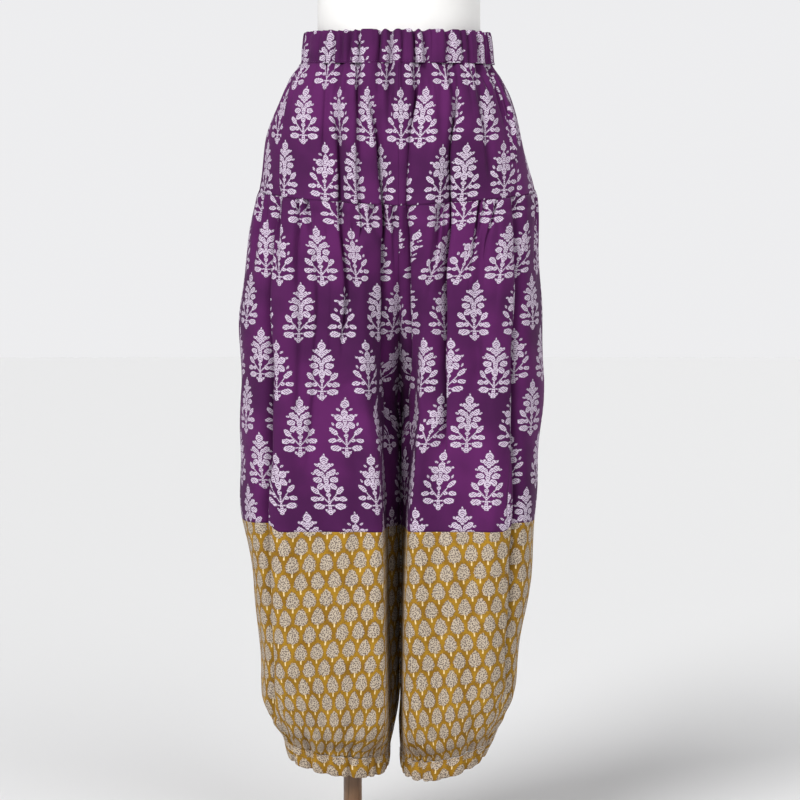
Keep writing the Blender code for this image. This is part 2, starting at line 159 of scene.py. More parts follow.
FOLDS = (
    Fold(RIGHT, FRONT, 0.880, 0.150, 0.154, 0.161, 0.0240, 0.010, -0.3),
    Fold(RIGHT, FRONT, 0.860, 0.170, 0.138, 0.143, -0.0060, 0.013),
    Fold(RIGHT, FRONT, 0.860, 0.480, 0.101, 0.110, 0.0070, 0.010, 0.3),
    Fold(RIGHT, FRONT, 0.990, 0.640, 0.082, 0.070, 0.0150, 0.0075, 0.4),
    Fold(RIGHT, FRONT, 1.000, 0.200, 0.062, 0.022, -0.0070, 0.012),
    Fold(RIGHT, FRONT, 1.000, 0.520, 0.036, 0.018, 0.0220, 0.0085, 0.5),
    Fold(LEFT, FRONT, 1.000, 0.520, 0.024, 0.016, 0.0240, 0.0078, 0.5),
    Fold(LEFT, FRONT, 1.000, 0.200, 0.042, 0.016, -0.0060, 0.012),
    Fold(LEFT, FRONT, 0.990, 0.500, 0.076, 0.056, 0.0190, 0.0085, 0.45),
    Fold(LEFT, FRONT, 0.860, 0.170, 0.122, 0.112, -0.0060, 0.012),
    Fold(LEFT, FRONT, 0.880, 0.150, 0.143, 0.137, 0.0220, 0.010, -0.3),
    Fold(RIGHT, BACK, 0.990, 0.420, 0.120, 0.140, 0.0100, 0.014),
    Fold(RIGHT, BACK, 0.990, 0.240, 0.074, 0.082, 0.0120, 0.015, 0.3),
    Fold(RIGHT, BACK, 0.980, 0.640, 0.030, 0.030, 0.0090, 0.013),
    Fold(LEFT, BACK, 0.990, 0.480, 0.112, 0.128, 0.0110, 0.014),
    Fold(LEFT, BACK, 0.990, 0.260, 0.066, 0.070, 0.0120, 0.015, 0.3),
    Fold(LEFT, BACK, 0.980, 0.620, 0.028, 0.028, 0.0090, 0.013),
)

# Smaller folds and soft dents that the solids leave out
SMALL_FOLDS = (
    Fold(RIGHT, FRONT, 1.050, 0.880, 0.098, 0.094, 0.0060, 0.006, 0.4),
    Fold(RIGHT, FRONT, 1.050, 0.800, 0.054, 0.052, 0.0110, 0.006, 0.4),
    Fold(RIGHT, FRONT, 1.050, 0.900, 0.012, 0.010, 0.0060, 0.006),
    Fold(RIGHT, FRONT, 1.050, 0.900, 0.076, 0.078, 0.0050, 0.007),
    Fold(LEFT, FRONT, 1.050, 0.820, 0.026, 0.024, 0.0110, 0.006, 0.4),
    Fold(LEFT, FRONT, 1.050, 0.840, 0.072, 0.076, 0.0100, 0.006, 0.4),
    Fold(LEFT, FRONT, 1.050, 0.870, 0.100, 0.116, 0.0060, 0.006),
    Fold(LEFT, FRONT, 1.050, 0.920, 0.050, 0.052, 0.0040, 0.006),
    Fold(RIGHT, FRONT, 0.850, 0.560, 0.122, 0.128, 0.0050, 0.009, 0.3),
    Fold(RIGHT, FRONT, 0.850, 0.640, 0.088, 0.086, 0.0040, 0.008, 0.3),
    Fold(RIGHT, FRONT, 0.850, 0.700, 0.060, 0.062, 0.0050, 0.007, 0.3),
    Fold(LEFT, FRONT, 0.850, 0.600, 0.104, 0.100, 0.0050, 0.008, 0.3),
    Fold(LEFT, FRONT, 0.850, 0.700, 0.122, 0.120, 0.0040, 0.007, 0.3),
    Fold(RIGHT, FRONT, 0.620, 0.170, 0.088, 0.092, 0.0032, 0.014),
    Fold(RIGHT, FRONT, 0.560, 0.160, 0.052, 0.056, 0.0034, 0.012),
    Fold(LEFT, FRONT, 0.640, 0.170, 0.092, 0.086, 0.0034, 0.013),
    Fold(LEFT, FRONT, 0.520, 0.160, 0.052, 0.048, 0.0032, 0.012),
    Fold(RIGHT, BACK, 0.800, 0.180, 0.170, 0.165, 0.0060, 0.016),
    Fold(LEFT, BACK, 0.800, 0.190, 0.152, 0.140, 0.0060, 0.015),
    Fold(RIGHT, BACK, 0.640, 0.170, 0.045, 0.050, 0.0050, 0.014),
    Fold(LEFT, BACK, 0.600, 0.170, 0.040, 0.044, 0.0050, 0.014),
    Fold(RIGHT, BACK, 1.050, 0.850, 0.094, 0.098, 0.0080, 0.007, 0.4),
    Fold(RIGHT, BACK, 1.050, 0.880, 0.052, 0.050, 0.0080, 0.007, 0.4),
    Fold(LEFT, BACK, 1.050, 0.860, 0.088, 0.092, 0.0080, 0.007, 0.4),
    Fold(LEFT, BACK, 1.050, 0.870, 0.044, 0.042, 0.0080, 0.007, 0.4),
    Fold(RIGHT, BACK, 1.050, 0.920, 0.014, 0.012, 0.0050, 0.006),
    Fold(LEFT, BACK, 1.050, 0.910, 0.018, 0.016, 0.0050, 0.006),
)


class Recess(NamedTuple):
    """The two legs' inner edges at a height, and how deep the cloth between them lies."""

    height: float
    right_edge: float
    left_edge: float
    depth: float


BETWEEN_LEGS = (
    Recess(0.140, 0.0160, 0.0060, 0.000),
    Recess(0.165, 0.0160, 0.0060, 0.036),
    Recess(0.220, 0.0165, 0.0060, 0.060),
    Recess(0.300, 0.0185, 0.0070, 0.070),
    Recess(0.380, 0.0195, 0.0095, 0.072),
    Recess(0.470, 0.0230, 0.0160, 0.070),
    Recess(0.540, 0.0265, 0.0235, 0.060),
    Recess(0.600, 0.0290, 0.0262, 0.034),
    Recess(0.650, 0.0320, 0.0270, 0.016),
    Recess(0.700, 0.0350, 0.0275, 0.004),
    Recess(0.740, 0.0360, 0.0280, 0.000),
)
RECESS_STEP = 0.006
RECESS_BACK = 0.050


class Crease(NamedTuple):
    """A short crease between two points given as distance across the leg and height."""

    side: Side
    face: Face
    across_start: float
    height_start: float
    across_end: float
    height_end: float
    depth: float
    width: float


CREASES = (
    Crease(RIGHT, FRONT, 0.035, 0.168, 0.100, 0.150, 0.0035, 0.0050),
    Crease(RIGHT, FRONT, 0.020, 0.215, 0.075, 0.176, 0.0022, 0.0060),
    Crease(RIGHT, FRONT, 0.120, 0.190, 0.095, 0.160, 0.0028, 0.0050),
    Crease(RIGHT, FRONT, 0.030, 0.640, 0.085, 0.600, 0.0018, 0.0080),
    Crease(LEFT, FRONT, 0.025, 0.660, 0.080, 0.610, 0.0018, 0.0080),
    Crease(LEFT, FRONT, 0.020, 0.200, 0.060, 0.165, 0.0026, 0.0055),
    Crease(LEFT, FRONT, 0.105, 0.205, 0.085, 0.165, 0.0026, 0.0050),
    Crease(RIGHT, FRONT, 0.050, 0.350, 0.120, 0.315, 0.0010, 0.0100),
    Crease(LEFT, FRONT, 0.040, 0.300, 0.100, 0.330, 0.0010, 0.0100),
    Crease(RIGHT, BACK, 0.040, 0.600, 0.120, 0.545, 0.0030, 0.0100),
    Crease(LEFT, BACK, 0.040, 0.610, 0.115, 0.550, 0.0030, 0.0100),
    Crease(RIGHT, BACK, 0.060, 0.200, 0.110, 0.165, 0.0030, 0.0060),
    Crease(LEFT, BACK, 0.030, 0.205, 0.085, 0.168, 0.0030, 0.0060),
)

# How fast the folds fade at their ends and beside the seams
FOLD_FADE = 0.08
SMALL_FOLD_FADE = 0.03
SEAM_CALM = 0.014
FULL_FACING = 0.6

# How the columns crowd beside the rise seam near the crotch
CROWD_TOP = 0.820
CROWD_FADE = 0.120
CROWD_SHARE = 0.6
MOST_CROWDED = 6.0

CURVE_SAMPLES = 900
FORM_CLEARANCE = 0.0018
LEAST_ROOM = 0.0035
OPEN_ROOM = 0.1
INNER_GAP = 0.0008
INNER_CORNER = 3.5
CORNER_BOTTOM = 0.15
CORNER_FADE = 0.06
LAP_SHIFT = 0.50
LAP_EDGE = 1.3

# The least and the greatest share of a pleat's depth, width and run that chance picks
PLEAT_STRAY = 0.42
PLEAT_DEPTHS = (0.20, 1.50)
PLEAT_WIDTHS = (0.60, 1.60)
PLEAT_RUNS = (0.55, 1.5)
PLEAT_LEAN = 0.25
LEAN_RUN = 0.05
SEAM_STRENGTH = 0.35


class FormRing(NamedTuple):
    """One outline of the dress form: its height and half sizes."""

    height: float
    half_width: float
    half_depth: float


FORM_RINGS = (
    FormRing(0.790, 0.1180, 0.076),
    FormRing(0.794, 0.1360, 0.090),
    FormRing(0.804, 0.1480, 0.099),
    FormRing(0.824, 0.1530, 0.103),
    FormRing(0.860, 0.1530, 0.104),
    FormRing(0.920, 0.1410, 0.099),
    FormRing(0.970, 0.1250, 0.093),
    FormRing(1.005, 0.1130, 0.0922),
    FormRing(1.024, 0.1090, 0.0914),
    FormRing(1.045, 0.1062, 0.0892),
    FormRing(1.060, 0.1052, 0.0870),
    FormRing(1.100, 0.1052, 0.0860),
    FormRing(1.150, 0.1130, 0.0890),
    FormRing(1.220, 0.1330, 0.1000),
    FormRing(1.290, 0.1520, 0.1100),
    FormRing(1.350, 0.1640, 0.1080),
    FormRing(1.400, 0.1740, 0.0930),
    FormRing(1.432, 0.1700, 0.0800),
    FormRing(1.452, 0.1420, 0.0720),
    FormRing(1.468, 0.1020, 0.0660),
    FormRing(1.484, 0.0700, 0.0600),
    FormRing(1.510, 0.0560, 0.0540),
    FormRing(1.560, 0.0520, 0.0510),
)


def ease(share: np.ndarray | float) -> np.ndarray | float:
    """Return a smooth step from 0 to 1."""
    share = np.clip(share, 0.0, 1.0)
    return share * share * (3 - 2 * share)


def monotone(heights: Sequence[float], values: Sequence[float], at: np.ndarray) -> np.ndarray:
    """Blend a table's values smoothly, with no overshoot.

    A cubic Hermite curve whose slope at each row is the harmonic mean of its neighbours'.

    Args:
        heights: The rows' rising heights.
        values: The rows' values.
        at: The heights asked for.

    Returns:
        One value for each height asked for.
    """
    heights = np.asarray(heights, float)
    values = np.asarray(values, float)
    steps = np.diff(heights)
    slopes = np.diff(values) / steps
    tangents = np.zeros_like(values)
    tangents[0] = slopes[0]
    tangents[-1] = slopes[-1]
    same_way = slopes[:-1] * slopes[1:] > 0
    safe = np.where(same_way, slopes[:-1] + slopes[1:], 1.0)
    tangents[1:-1] = np.where(same_way, 2 * slopes[:-1] * slopes[1:] / safe, 0.0)
    row = np.clip(np.searchsorted(heights, at) - 1, 0, len(steps) - 1)
    part = (at - heights[row]) / steps[row]
    part_2 = part * part
    part_3 = part_2 * part
    return (
        (2 * part_3 - 3 * part_2 + 1) * values[row]
        + (part_3 - 2 * part_2 + part) * steps[row] * tangents[row]
        + (3 * part_2 - 2 * part_3) * values[row + 1]
        + (part_3 - part_2) * steps[row] * tangents[row + 1]
    )


def level_at(height: float) -> Level:
    """Return the garment's sizes at any height."""
    rising = LEVELS[::-1]
    heights = [row.height for row in rising]
    return Level(*(float(monotone(heights, column, height)) for column in zip(*rising)))


def superellipse(
    angles: np.ndarray,
    half_width: float,
    front: float,
    back: float,
    squareness: float,
    corner: float = 0.0,
) -> np.ndarray:
    """Return points of a rounded outline.

    The radius at an angle is (|cos/width|^n + |sin/depth|^n)^(-1/n), and positive angles lie
    on the front, towards -Y. The corner is added to n in the inner front quarter.
    """
    depth = np.where(angles > 0, front, back)
    power = squareness + corner * (angles > math.pi / 2)
    wide = np.abs(np.cos(angles) / half_width) ** power
    deep = np.abs(np.sin(angles) / depth) ** power
    radius = (wide + deep) ** (-1 / power)
    return np.stack([radius * np.cos(angles), -radius * np.sin(angles)], axis=1)


def outline_length(points: np.ndarray) -> float:
    """Return the length of a row of points."""
    return float(np.linalg.norm(np.diff(points, axis=0), axis=1).sum())


def outward_normals(points: np.ndarray) -> np.ndarray:
    """Return the unit normals of an outline that runs from the back round to the front."""
    tangents = np.gradient(points, axis=0)
    normals = np.stack([-tangents[:, 1], tangents[:, 0]], axis=1)
    return normals / np.linalg.norm(normals, axis=1, keepdims=True)


@dataclass(frozen=True)
class Pleats:
    """Uneven little pleats caught in a gathered seam.

    Each pleat is a narrow valley at its own place, depth and length, and the cloth between
    two pleats stands proud by the lift.
    """

    seam: float
    front_count: int
    back_count: int
    depth: float
    lift: float
    narrowness: float
    above: float
    below: float
    seed: int
    start: float = 0.0

    def reach(self, height: float, lengths: np.ndarray) -> np.ndarray:
        """Return how strong each pleat still is at a height."""
        from_seam = height - self.seam
        run = self.above if from_seam > 0 else self.below
        if run <= 0:
            return np.zeros_like(lengths)
        near = 1.0
        if self.start > 0:
            grown = float(ease(abs(from_seam) / self.start))
            near = SEAM_STRENGTH + (1 - SEAM_STRENGTH) * grown
        return near * np.exp(-((from_seam / (run * lengths)) ** 2))

    def inward(self, curve: "Outline", side: Side, height: float) -> np.ndarray:
        """Return how far the pleats press the outline in, less the lift between them."""
        total = np.zeros_like(curve.along)
        for face, count, length in (
            (Face.FRONT, self.front_count, curve.front_length),
            (Face.BACK, self.back_count, curve.back_length),
        ):
            seed = (self.seed, 1 if side is Side.LEFT else 2, 3 if face is Face.FRONT else 4)
            draws = np.random.default_rng(seed)
            stray = draws.uniform(-PLEAT_STRAY, PLEAT_STRAY, count)
            places = (np.arange(count) + 0.5 + stray) / count
            depths = self.depth * draws.uniform(*PLEAT_DEPTHS, count)
            widths = self.narrowness / count * draws.uniform(*PLEAT_WIDTHS, count)
            runs = draws.uniform(*PLEAT_RUNS, count)
            lean = draws.uniform(-PLEAT_LEAN, PLEAT_LEAN, count) / count
            on_face = curve.along > 0 if face is Face.FRONT else curve.along <= 0
            share = np.abs(curve.along[on_face]) / length
            strength = self.reach(height, runs)
            slide = lean * min(abs(height - self.seam) / LEAN_RUN, 1.0)
            offset = share[:, None] - (places + slide)[None, :]
            valleys = np.exp(-((offset / widths[None, :]) ** 2)) * (depths * strength)[None, :]
            lifted = self.lift * float(self.reach(height, np.ones(1))[0])
            total[on_face] += valleys.sum(axis=1) - lifted
        return total


@dataclass
class Outline:
    """A leg's outline at one level, sampled along its length from the side seam."""

    along: np.ndarray
    points: np.ndarray
    normals: np.ndarray
    cloth: np.ndarray
    front_length: float
    back_length: float
    front_whole: float
    back_whole: float


def ripple(side: Side, along: np.ndarray, height: float) -> np.ndarray:
    """Return the faint unevenness of hanging cotton, as a few slow crossing waves."""
    shift = 1.7 if side is Side.RIGHT else 4.1
    waves = 0.50 * np.sin(along * 61 + height * 9 + shift)
    waves += 0.32 * np.sin(along * 97 - height * 17 + 2.3 * shift)
    waves += 0.24 * np.sin(along * 38 + height * 31 + 0.7 * shift)
    waves += 0.14 * np.sin(along * 173 + height * 43 - shift)
    waves += 0.10 * np.sin(along * 261 - height * 71 + 3.1 * shift)
    return 0.0011 * waves


def side_wave(side: Side, height: float) -> float:
    """Return how far the hanging sides swing in and out at a height."""
    shift = 0.6 if side is Side.RIGHT else 2.9
    return 0.0021 * math.sin(height * 23 + shift) + 0.0012 * math.sin(height * 51 + 2 * shift)


def fold_wander(fold: Fold, height: float) -> float:
    """Return how far a fold strays from its straight line at a height."""
    shift = 40 * fold.across_top
    return 0.0026 * math.sin(height * 19 + shift) + 0.0010 * math.sin(height * 47 + 2 * shift)


def room_inside(level: Level, height: float) -> float:
    """Return how far the cloth can go in before it meets the dress form."""
    if height < FORM_RINGS[0].height:
        return OPEN_ROOM
    form_depth = float(
        monotone(
            [ring.height for ring in FORM_RINGS],
            [ring.half_depth for ring in FORM_RINGS],
            height,
        )
    )
    return max(level.front - form_depth - FORM_CLEARANCE, LEAST_ROOM)


def recess(side: Side, points: np.ndarray, height: float) -> np.ndarray:
    """Return how far the cloth between the legs falls back from the front.

    It is the depth times (1 - ease((x - edge) / step + 1)) times ease(-y / back), so it is a
    step at the leg's inner edge and leaves the back alone.
    """
    heights, right, left, depths = zip(*BETWEEN_LEGS)
    edge = float(monotone(heights, right if side is Side.RIGHT else left, height))
    depth = float(monotone(heights, depths, min(max(height, heights[0]), heights[-1])))
    inside = 1 - ease((points[:, 0] - edge) / RECESS_STEP + 1)
    return depth * inside * ease(-points[:, 1] / RECESS_BACK)


def crease_depth(crease: Crease, across: np.ndarray, height: float) -> np.ndarray:
    """Return a crease's depth: a bell over the distance to its line, fading at its ends."""
    line = np.array(
        [crease.across_end - crease.across_start, crease.height_end - crease.height_start]
    )
    length = float(np.linalg.norm(line))
    unit = line / length
    to_across = across - crease.across_start
    to_height = height - crease.height_start
    run = (to_across * unit[0] + to_height * unit[1]) / length
    away = to_across * unit[1] - to_height * unit[0]
    fade = ease(run / 0.35) * ease((1 - run) / 0.35)
    return crease.depth * fade * np.exp(-((away / crease.width) ** 2))


def press_folds(
    side: Side, height: float, outline: Outline, strength: np.ndarray, fine: bool
) -> tuple[np.ndarray, np.ndarray]:
    """Work out how the folds move an outline.

    A fold is a bell exp(-(distance / width)^2), with one width on each flank. The steeper
    flank of a lapped fold is also shoved sideways over the valley, by a bell at its edge.

    Args:
        side: The wearer's side.
        height: The level's height.
        outline: The outline without folds.
        strength: How much of a fold each point takes, from 0 to 1.
        fine: Whether the small folds and the laps are added.

    Returns:
        How far each point goes in, and how far it goes along the outline.
    """
    along, points = outline.along, outline.points
    front = np.arange(len(along)) >= CURVE_SAMPLES
    inward = np.zeros_like(along)
    sideways = np.zeros_like(along)
    tables = [(FOLDS, FOLD_FADE)]
    if fine:
        tables.append((SMALL_FOLDS, SMALL_FOLD_FADE))
    for folds, fade in tables:
        for fold in folds:
            if fold.side is not side or not fold.bottom < height < fold.top:
                continue
            share = (fold.top - height) / (fold.top - fold.bottom)
            across = fold.across_top + share * (fold.across_bottom - fold.across_top)
            if fine:
                across += fold_wander(fold, height)
            if fold.face is Face.FRONT:
                place = np.interp(across, points[front, 0][::-1], along[front][::-1])
            else:
                place = np.interp(across, points[~front, 0], along[~front])
            depth = fold.depth * ease((fold.top - height) / fade)
            depth *= ease((height - fold.bottom) / fade)
            centrewards = 1.0 if fold.face is Face.FRONT else -1.0
            from_place = centrewards * (along - place)
            width = fold.width * np.where(from_place < 0, 1 - fold.lap, 1 + fold.lap)
            inward += strength * depth * np.exp(-((from_place / width) ** 2))
            if fine and fold.lap:
                flank = fold.width * (1 - abs(fold.lap))
                edge = from_place + math.copysign(LAP_EDGE * flank, fold.lap)
                shove = LAP_SHIFT * depth * math.copysign(1.0, fold.lap) * centrewards
                sideways += strength * shove * np.exp(-((edge / flank) ** 2))
    return inward, sideways


def leg_outline(side: Side, height: float, pleats: Sequence[Pleats], fine: bool = True) -> Outline:
    """Work out one leg's outline at a level, with its folds, pleats and creases.

    Above the crotch the outline reaches past the centre plane, where it is cut off, and the
    cut end is the rise seam. Below the crotch the outline is whole and ends at the inseam.

    Args:
        side: The wearer's side.
        height: The level's height at the side of the garment.
        pleats: The gathered seams that reach this piece.
        fine: Whether the small folds, creases and ripples are added.

    Returns:
        The outline with its folds.
    """
    level = level_at(height)
    reach = level.right_reach if side is Side.RIGHT else level.left_reach
    seam = level.right_seam if side is Side.RIGHT else level.left_seam
    above = height - CROTCH
    if above > 0:
        depth_share = min(1.0, math.sqrt(above / RISE_HEIGHT))
        flat_share = (1 - depth_share**level.squareness) ** (1 / level.squareness)
        inner = -reach * (1 - flat_share) / (1 + flat_share)
    else:
        inner = level.right_inner if side is Side.RIGHT else level.left_inner
        inner = max(inner - INNER_GAP, 0.0)
    centre = (reach + inner) / 2
    corner = INNER_CORNER * float(
        ease((CROTCH - height) / CORNER_FADE) * ease((height - CORNER_BOTTOM) / CORNER_FADE)
    )
    sizes = ((reach - inner) / 2, level.front, level.back, level.squareness, corner)
    half_turn = np.linspace(0, math.pi, CURVE_SAMPLES)
    front_half = superellipse(half_turn, *sizes)
    back_half = superellipse(-half_turn, *sizes)
    front_cut = float(np.interp(-centre, front_half[::-1, 0], half_turn[::-1]))
    back_cut = float(np.interp(-centre, back_half[::-1, 0], half_turn[::-1]))
    back_angles = np.linspace(-back_cut, 0, CURVE_SAMPLES + 1)
    angles = np.concatenate([back_angles, np.linspace(0, front_cut, CURVE_SAMPLES + 1)[1:]])
    points = superellipse(angles, *sizes)
    points[:, 0] += centre
    steps = np.linalg.norm(np.diff(points, axis=0), axis=1)
    along = np.concatenate([[0.0], np.cumsum(steps)])
    front = angles >= 0
    to_seam = float(np.interp(seam, points[front, 0][::-1], along[front][::-1]))
    seam_from_side = to_seam - float(np.interp(0.0, angles, along))
    along = along - to_seam
    normals = outward_normals(points)
    outline = Outline(
        along=along,
        points=points,
        normals=normals,
        cloth=along,
        front_length=float(along[-1]),
        back_length=float(-along[0]),
        front_whole=max(outline_length(front_half) - seam_from_side, float(along[-1])),
        back_whole=max(outline_length(back_half) + seam_from_side, float(-along[0])),
    )
    to_front_end = outline.front_length - along
    to_back_end = along + outline.back_length
    calm = 1 - np.exp(-((to_front_end / SEAM_CALM) ** 2))
    calm *= 1 - np.exp(-((to_back_end / SEAM_CALM) ** 2))
    facing = ease(np.abs(normals[:, 1]) / FULL_FACING)
    inward, sideways = press_folds(side, height, outline, calm * facing, fine)
    if fine:
        for crease in CREASES:
            if crease.side is side:
                on_face = front if crease.face is Face.FRONT else ~front
                inward += on_face * crease_depth(crease, points[:, 0], height)
        inward += calm * ripple(side, along, height)
        inward += calm * side_wave(side, height) * np.clip(normals[:, 0], 0, 1) ** 2
    for seam_pleats in pleats:
        inward += seam_pleats.inward(outline, side, height)
    room = room_inside(level, height)
    inward = np.where(inward > 0, room * np.tanh(inward / room), inward)
    tangents = np.stack([normals[:, 1], -normals[:, 0]], axis=1)
    moved = points - inward[:, None] * normals + sideways[:, None] * tangents
    if BETWEEN_LEGS[0][0] < height < BETWEEN_LEGS[-1][0]:
        moved[:, 1] += recess(side, moved, height)
    moved[:, 0] = np.maximum(moved[:, 0], 0.0)
    moved_steps = np.linalg.norm(np.diff(moved, axis=0), axis=1)
    cloth = np.concatenate([[0.0], np.cumsum(moved_steps)])
    outline.points = moved
    outline.normals = outward_normals(moved)
    outline.cloth = cloth - float(np.interp(0.0, along, cloth))
    return outline


class CuffDip(NamedTuple):
    """How a cuff hangs: its lean to the front, slope across, lift, and the slope's middle."""

    lean: float
    slope: float
    lift: float
    middle: float


CUFF_DIPS = {
    Side.RIGHT: CuffDip(0.20, 0.13, 0.000, 0.080),
    Side.LEFT: CuffDip(0.34, 0.24, 0.005, 0.062),
}
DIP_TOP = 0.250
DIP_RUN = 0.100

# The cloth outside the long side folds rides up, and the yoke's seam sags at the centre
LONG_FOLD = {Side.RIGHT: 0.150, Side.LEFT: 0.131}
RIDE_RISE = 0.0095
RIDE_WIDTH = 0.016
RIDE_REACH = 0.130
YOKE_SAG = 0.0085
SAG_HALF_WIDTH = 0.160
SAG_REACH = 0.090

# The two inner sides of the legs meet along a line that strays a little from the centre
MEANDER = 0.0035
MEANDER_BOTTOM = 0.170
MEANDER_DEPTH = 0.015
MEANDER_WIDTH = 0.030


class Anchor(Enum):
    """The seam that a panel's print is squared to."""

    SIDE_SEAM = "side seam"
    CENTRE = "centre"
    BOTH = "both"


@dataclass(frozen=True)
class Tier:
    """One band of the garment between two horizontal seams."""

    name: str
    top: float
    bottom: float
    pleats: tuple[Pleats, ...]
    anchor: Anchor
    row_step: float
    held: Held
    slant: float = 0.0


WAIST_PLEATS = Pleats(WAIST_SEAM, 11, 13, 0.0088, 0.0044, 0.22, 0.300, 0.044, 11)
YOKE_PLEATS = Pleats(YOKE_SEAM, 9, 11, 0.0110, 0.0022, 0.15, 0.0, 0.060, 23, start=0.008)
CUFF_PLEATS = Pleats(CUFF_SEAM, 9, 11, 0.0050, 0.0018, 0.20, 0.045, 0.300, 37)

YOKE = Tier("yoke", WAIST_SEAM, YOKE_SEAM, (WAIST_PLEATS,), Anchor.CENTRE, 0.0028, Held.HUNG)
UPPER = Tier("leg", YOKE_SEAM, LOWER_SEAM, (YOKE_PLEATS,), Anchor.SIDE_SEAM, 0.0032, Held.GATHERED)
LOWER = Tier("lower", LOWER_SEAM, CUFF_SEAM, (CUFF_PLEATS,), Anchor.BOTH, 0.0030, Held.GATHERED, 0.08)


@dataclass
class Surface:
    """A grid of points with its cloth coordinates and outward directions."""

    points: np.ndarray
    cloth: np.ndarray
    outward: np.ndarray


def crowded_places(outline: Outline, face: Face, columns: int, height: float) -> np.ndarray:
    """Return the distances along the outline of a panel's columns.

    Near the crotch the rise seam cuts a part off the whole outline. The columns beside the
    seam take up that loss, as a high power of each column's share, and the others stay.
    """
    share = np.linspace(0, 1, columns + 1)
    front = face is Face.FRONT
    kept = outline.front_length if front else outline.back_length
    whole = outline.front_whole if front else outline.back_whole
    lost = max(whole - kept, 0.0003)
    power = min(1 + CROWD_SHARE * (whole / lost - 1), MOST_CROWDED)
    crowded = (share * (kept + lost) - lost * share**power) / kept
    mix = ease((CROWD_TOP - height) / CROWD_FADE)
    places = (mix * crowded + (1 - mix) * share) * kept
    return places if front else -places


def settle(side: Side, height: float, across: np.ndarray, depth: np.ndarray) -> np.ndarray:
    """Return how far the cloth has slid up or down from its level.

    The cuffs dip at the front and on the inner side, the yoke's seam sags towards the centre,
    and the cloth outside the two long side folds rides up a little at the lower panels' seam.
    """
    dip = CUFF_DIPS[side]
    hung = dip.lean * depth + dip.slope * (across - dip.middle) + dip.lift
    cuff = ease((DIP_TOP - height) / DIP_RUN) * hung
    near_yoke = math.exp(-(((height - YOKE_SEAM) / SAG_REACH) ** 2))
    near_lower = math.exp(-(((height - LOWER_SEAM) / RIDE_REACH) ** 2))
    sag = YOKE_SAG * (across / SAG_HALF_WIDTH - 1) * near_yoke
    ride = RIDE_RISE * ease((across - LONG_FOLD[side]) / RIDE_WIDTH) * near_lower
    return cuff + ride + sag


def place_points(
    outline: Outline, places: np.ndarray, side: Side, height: float, moved_out: float
) -> tuple[np.ndarray, np.ndarray]:
    """Return points in space and their outward directions, moved out of the outline."""
    across = np.interp(places, outline.along, outline.points[:, 0])
    depth = np.interp(places, outline.along, outline.points[:, 1])
    normal_across = np.interp(places, outline.along, outline.normals[:, 0])
    normal_depth = np.interp(places, outline.along, outline.normals[:, 1])
    across = np.maximum(across + moved_out * normal_across, 0.0)
    depth = depth + moved_out * normal_depth
    tilt = level_at(height).tilt
    near = float(ease((CROTCH - height) / 0.03) * ease((height - MEANDER_BOTTOM) / 0.04))
    away = (across / MEANDER_WIDTH) ** 2 + ((depth - MEANDER_DEPTH) / MEANDER_WIDTH) ** 2
    meander = near * MEANDER * np.exp(-away)
    rise = height + tilt * depth + settle(side, height, across, depth)
    points = np.stack([side.sign * across + meander, depth, rise], axis=1)
    outward = np.stack(
        [side.sign * normal_across, normal_depth, np.zeros_like(normal_depth)], axis=1
    )
    return points, outward


def make_mesh(name: str, surface: Surface, closed: bool = False) -> bpy.types.Object:
    """Make an object from a grid, with its UV map in metres of cloth.

    Args:
        name: The piece's name.
        surface: Rows and columns of points; a closed one repeats its first column at the end.
        closed: Whether the columns run all the way round.

    Returns:
        The new object, faces outwards.
    """
    rows, columns = surface.points.shape[:2]
    kept = columns - 1 if closed else columns
    points = surface.points[:, :kept].reshape(-1, 3)
    row, column = np.meshgrid(np.arange(rows - 1), np.arange(columns - 1), indexing="ij")
    following = (column + 1) % kept if closed else column + 1
    corners = [
        row * kept + column,
        row * kept + following,
        (row + 1) * kept + following,
        (row + 1) * kept + column,
    ]
    uv_corners = [
        row * columns + column,
        row * columns + column + 1,
        (row + 1) * columns + column + 1,
        (row + 1) * columns + column,
    ]
    faces = np.stack([corner.ravel() for corner in corners], axis=1)
    uv_faces = np.stack([corner.ravel() for corner in uv_corners], axis=1)
    first = points[faces[:, 1]] - points[faces[:, 0]]
    second = points[faces[:, 3]] - points[faces[:, 0]]
    outward = surface.outward[:-1, : columns - 1].reshape(-1, 3)
    if float((np.cross(first, second) * outward).sum()) < 0:
        faces = faces[:, ::-1]
        uv_faces = uv_faces[:, ::-1]
    mesh = bpy.data.meshes.new(name)
    mesh.from_pydata(points.tolist(), [], faces.tolist())
    layer = mesh.uv_layers.new(name="cloth")
    layer.data.foreach_set("uv", surface.cloth.reshape(-1, 2)[uv_faces.ravel()].ravel())
    mesh.shade_smooth()
    mesh.update()
    piece = bpy.data.objects.new(name, mesh)
    bpy.context.scene.collection.objects.link(piece)
    return piece


def dress(piece: bpy.types.Object, material: bpy.types.Material, slot: str, *nodes: str) -> None:
    """Give a piece its material and body, and hide the solids that it stands for."""
    piece.data.materials.append(material)
    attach(piece, BODY)
    if nodes:
        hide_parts(*nodes)
    log.info("built %s with %d faces", piece.name, len(piece.data.polygons))


def thicken(piece: bpy.types.Object, thickness: float) -> None:
    """Give a shell its wall, inwards."""
    solidify = piece.modifiers.new("wall", "SOLIDIFY")
    solidify.thickness = thickness
    solidify.offset = -1.0
    solidify.use_even_offset = False


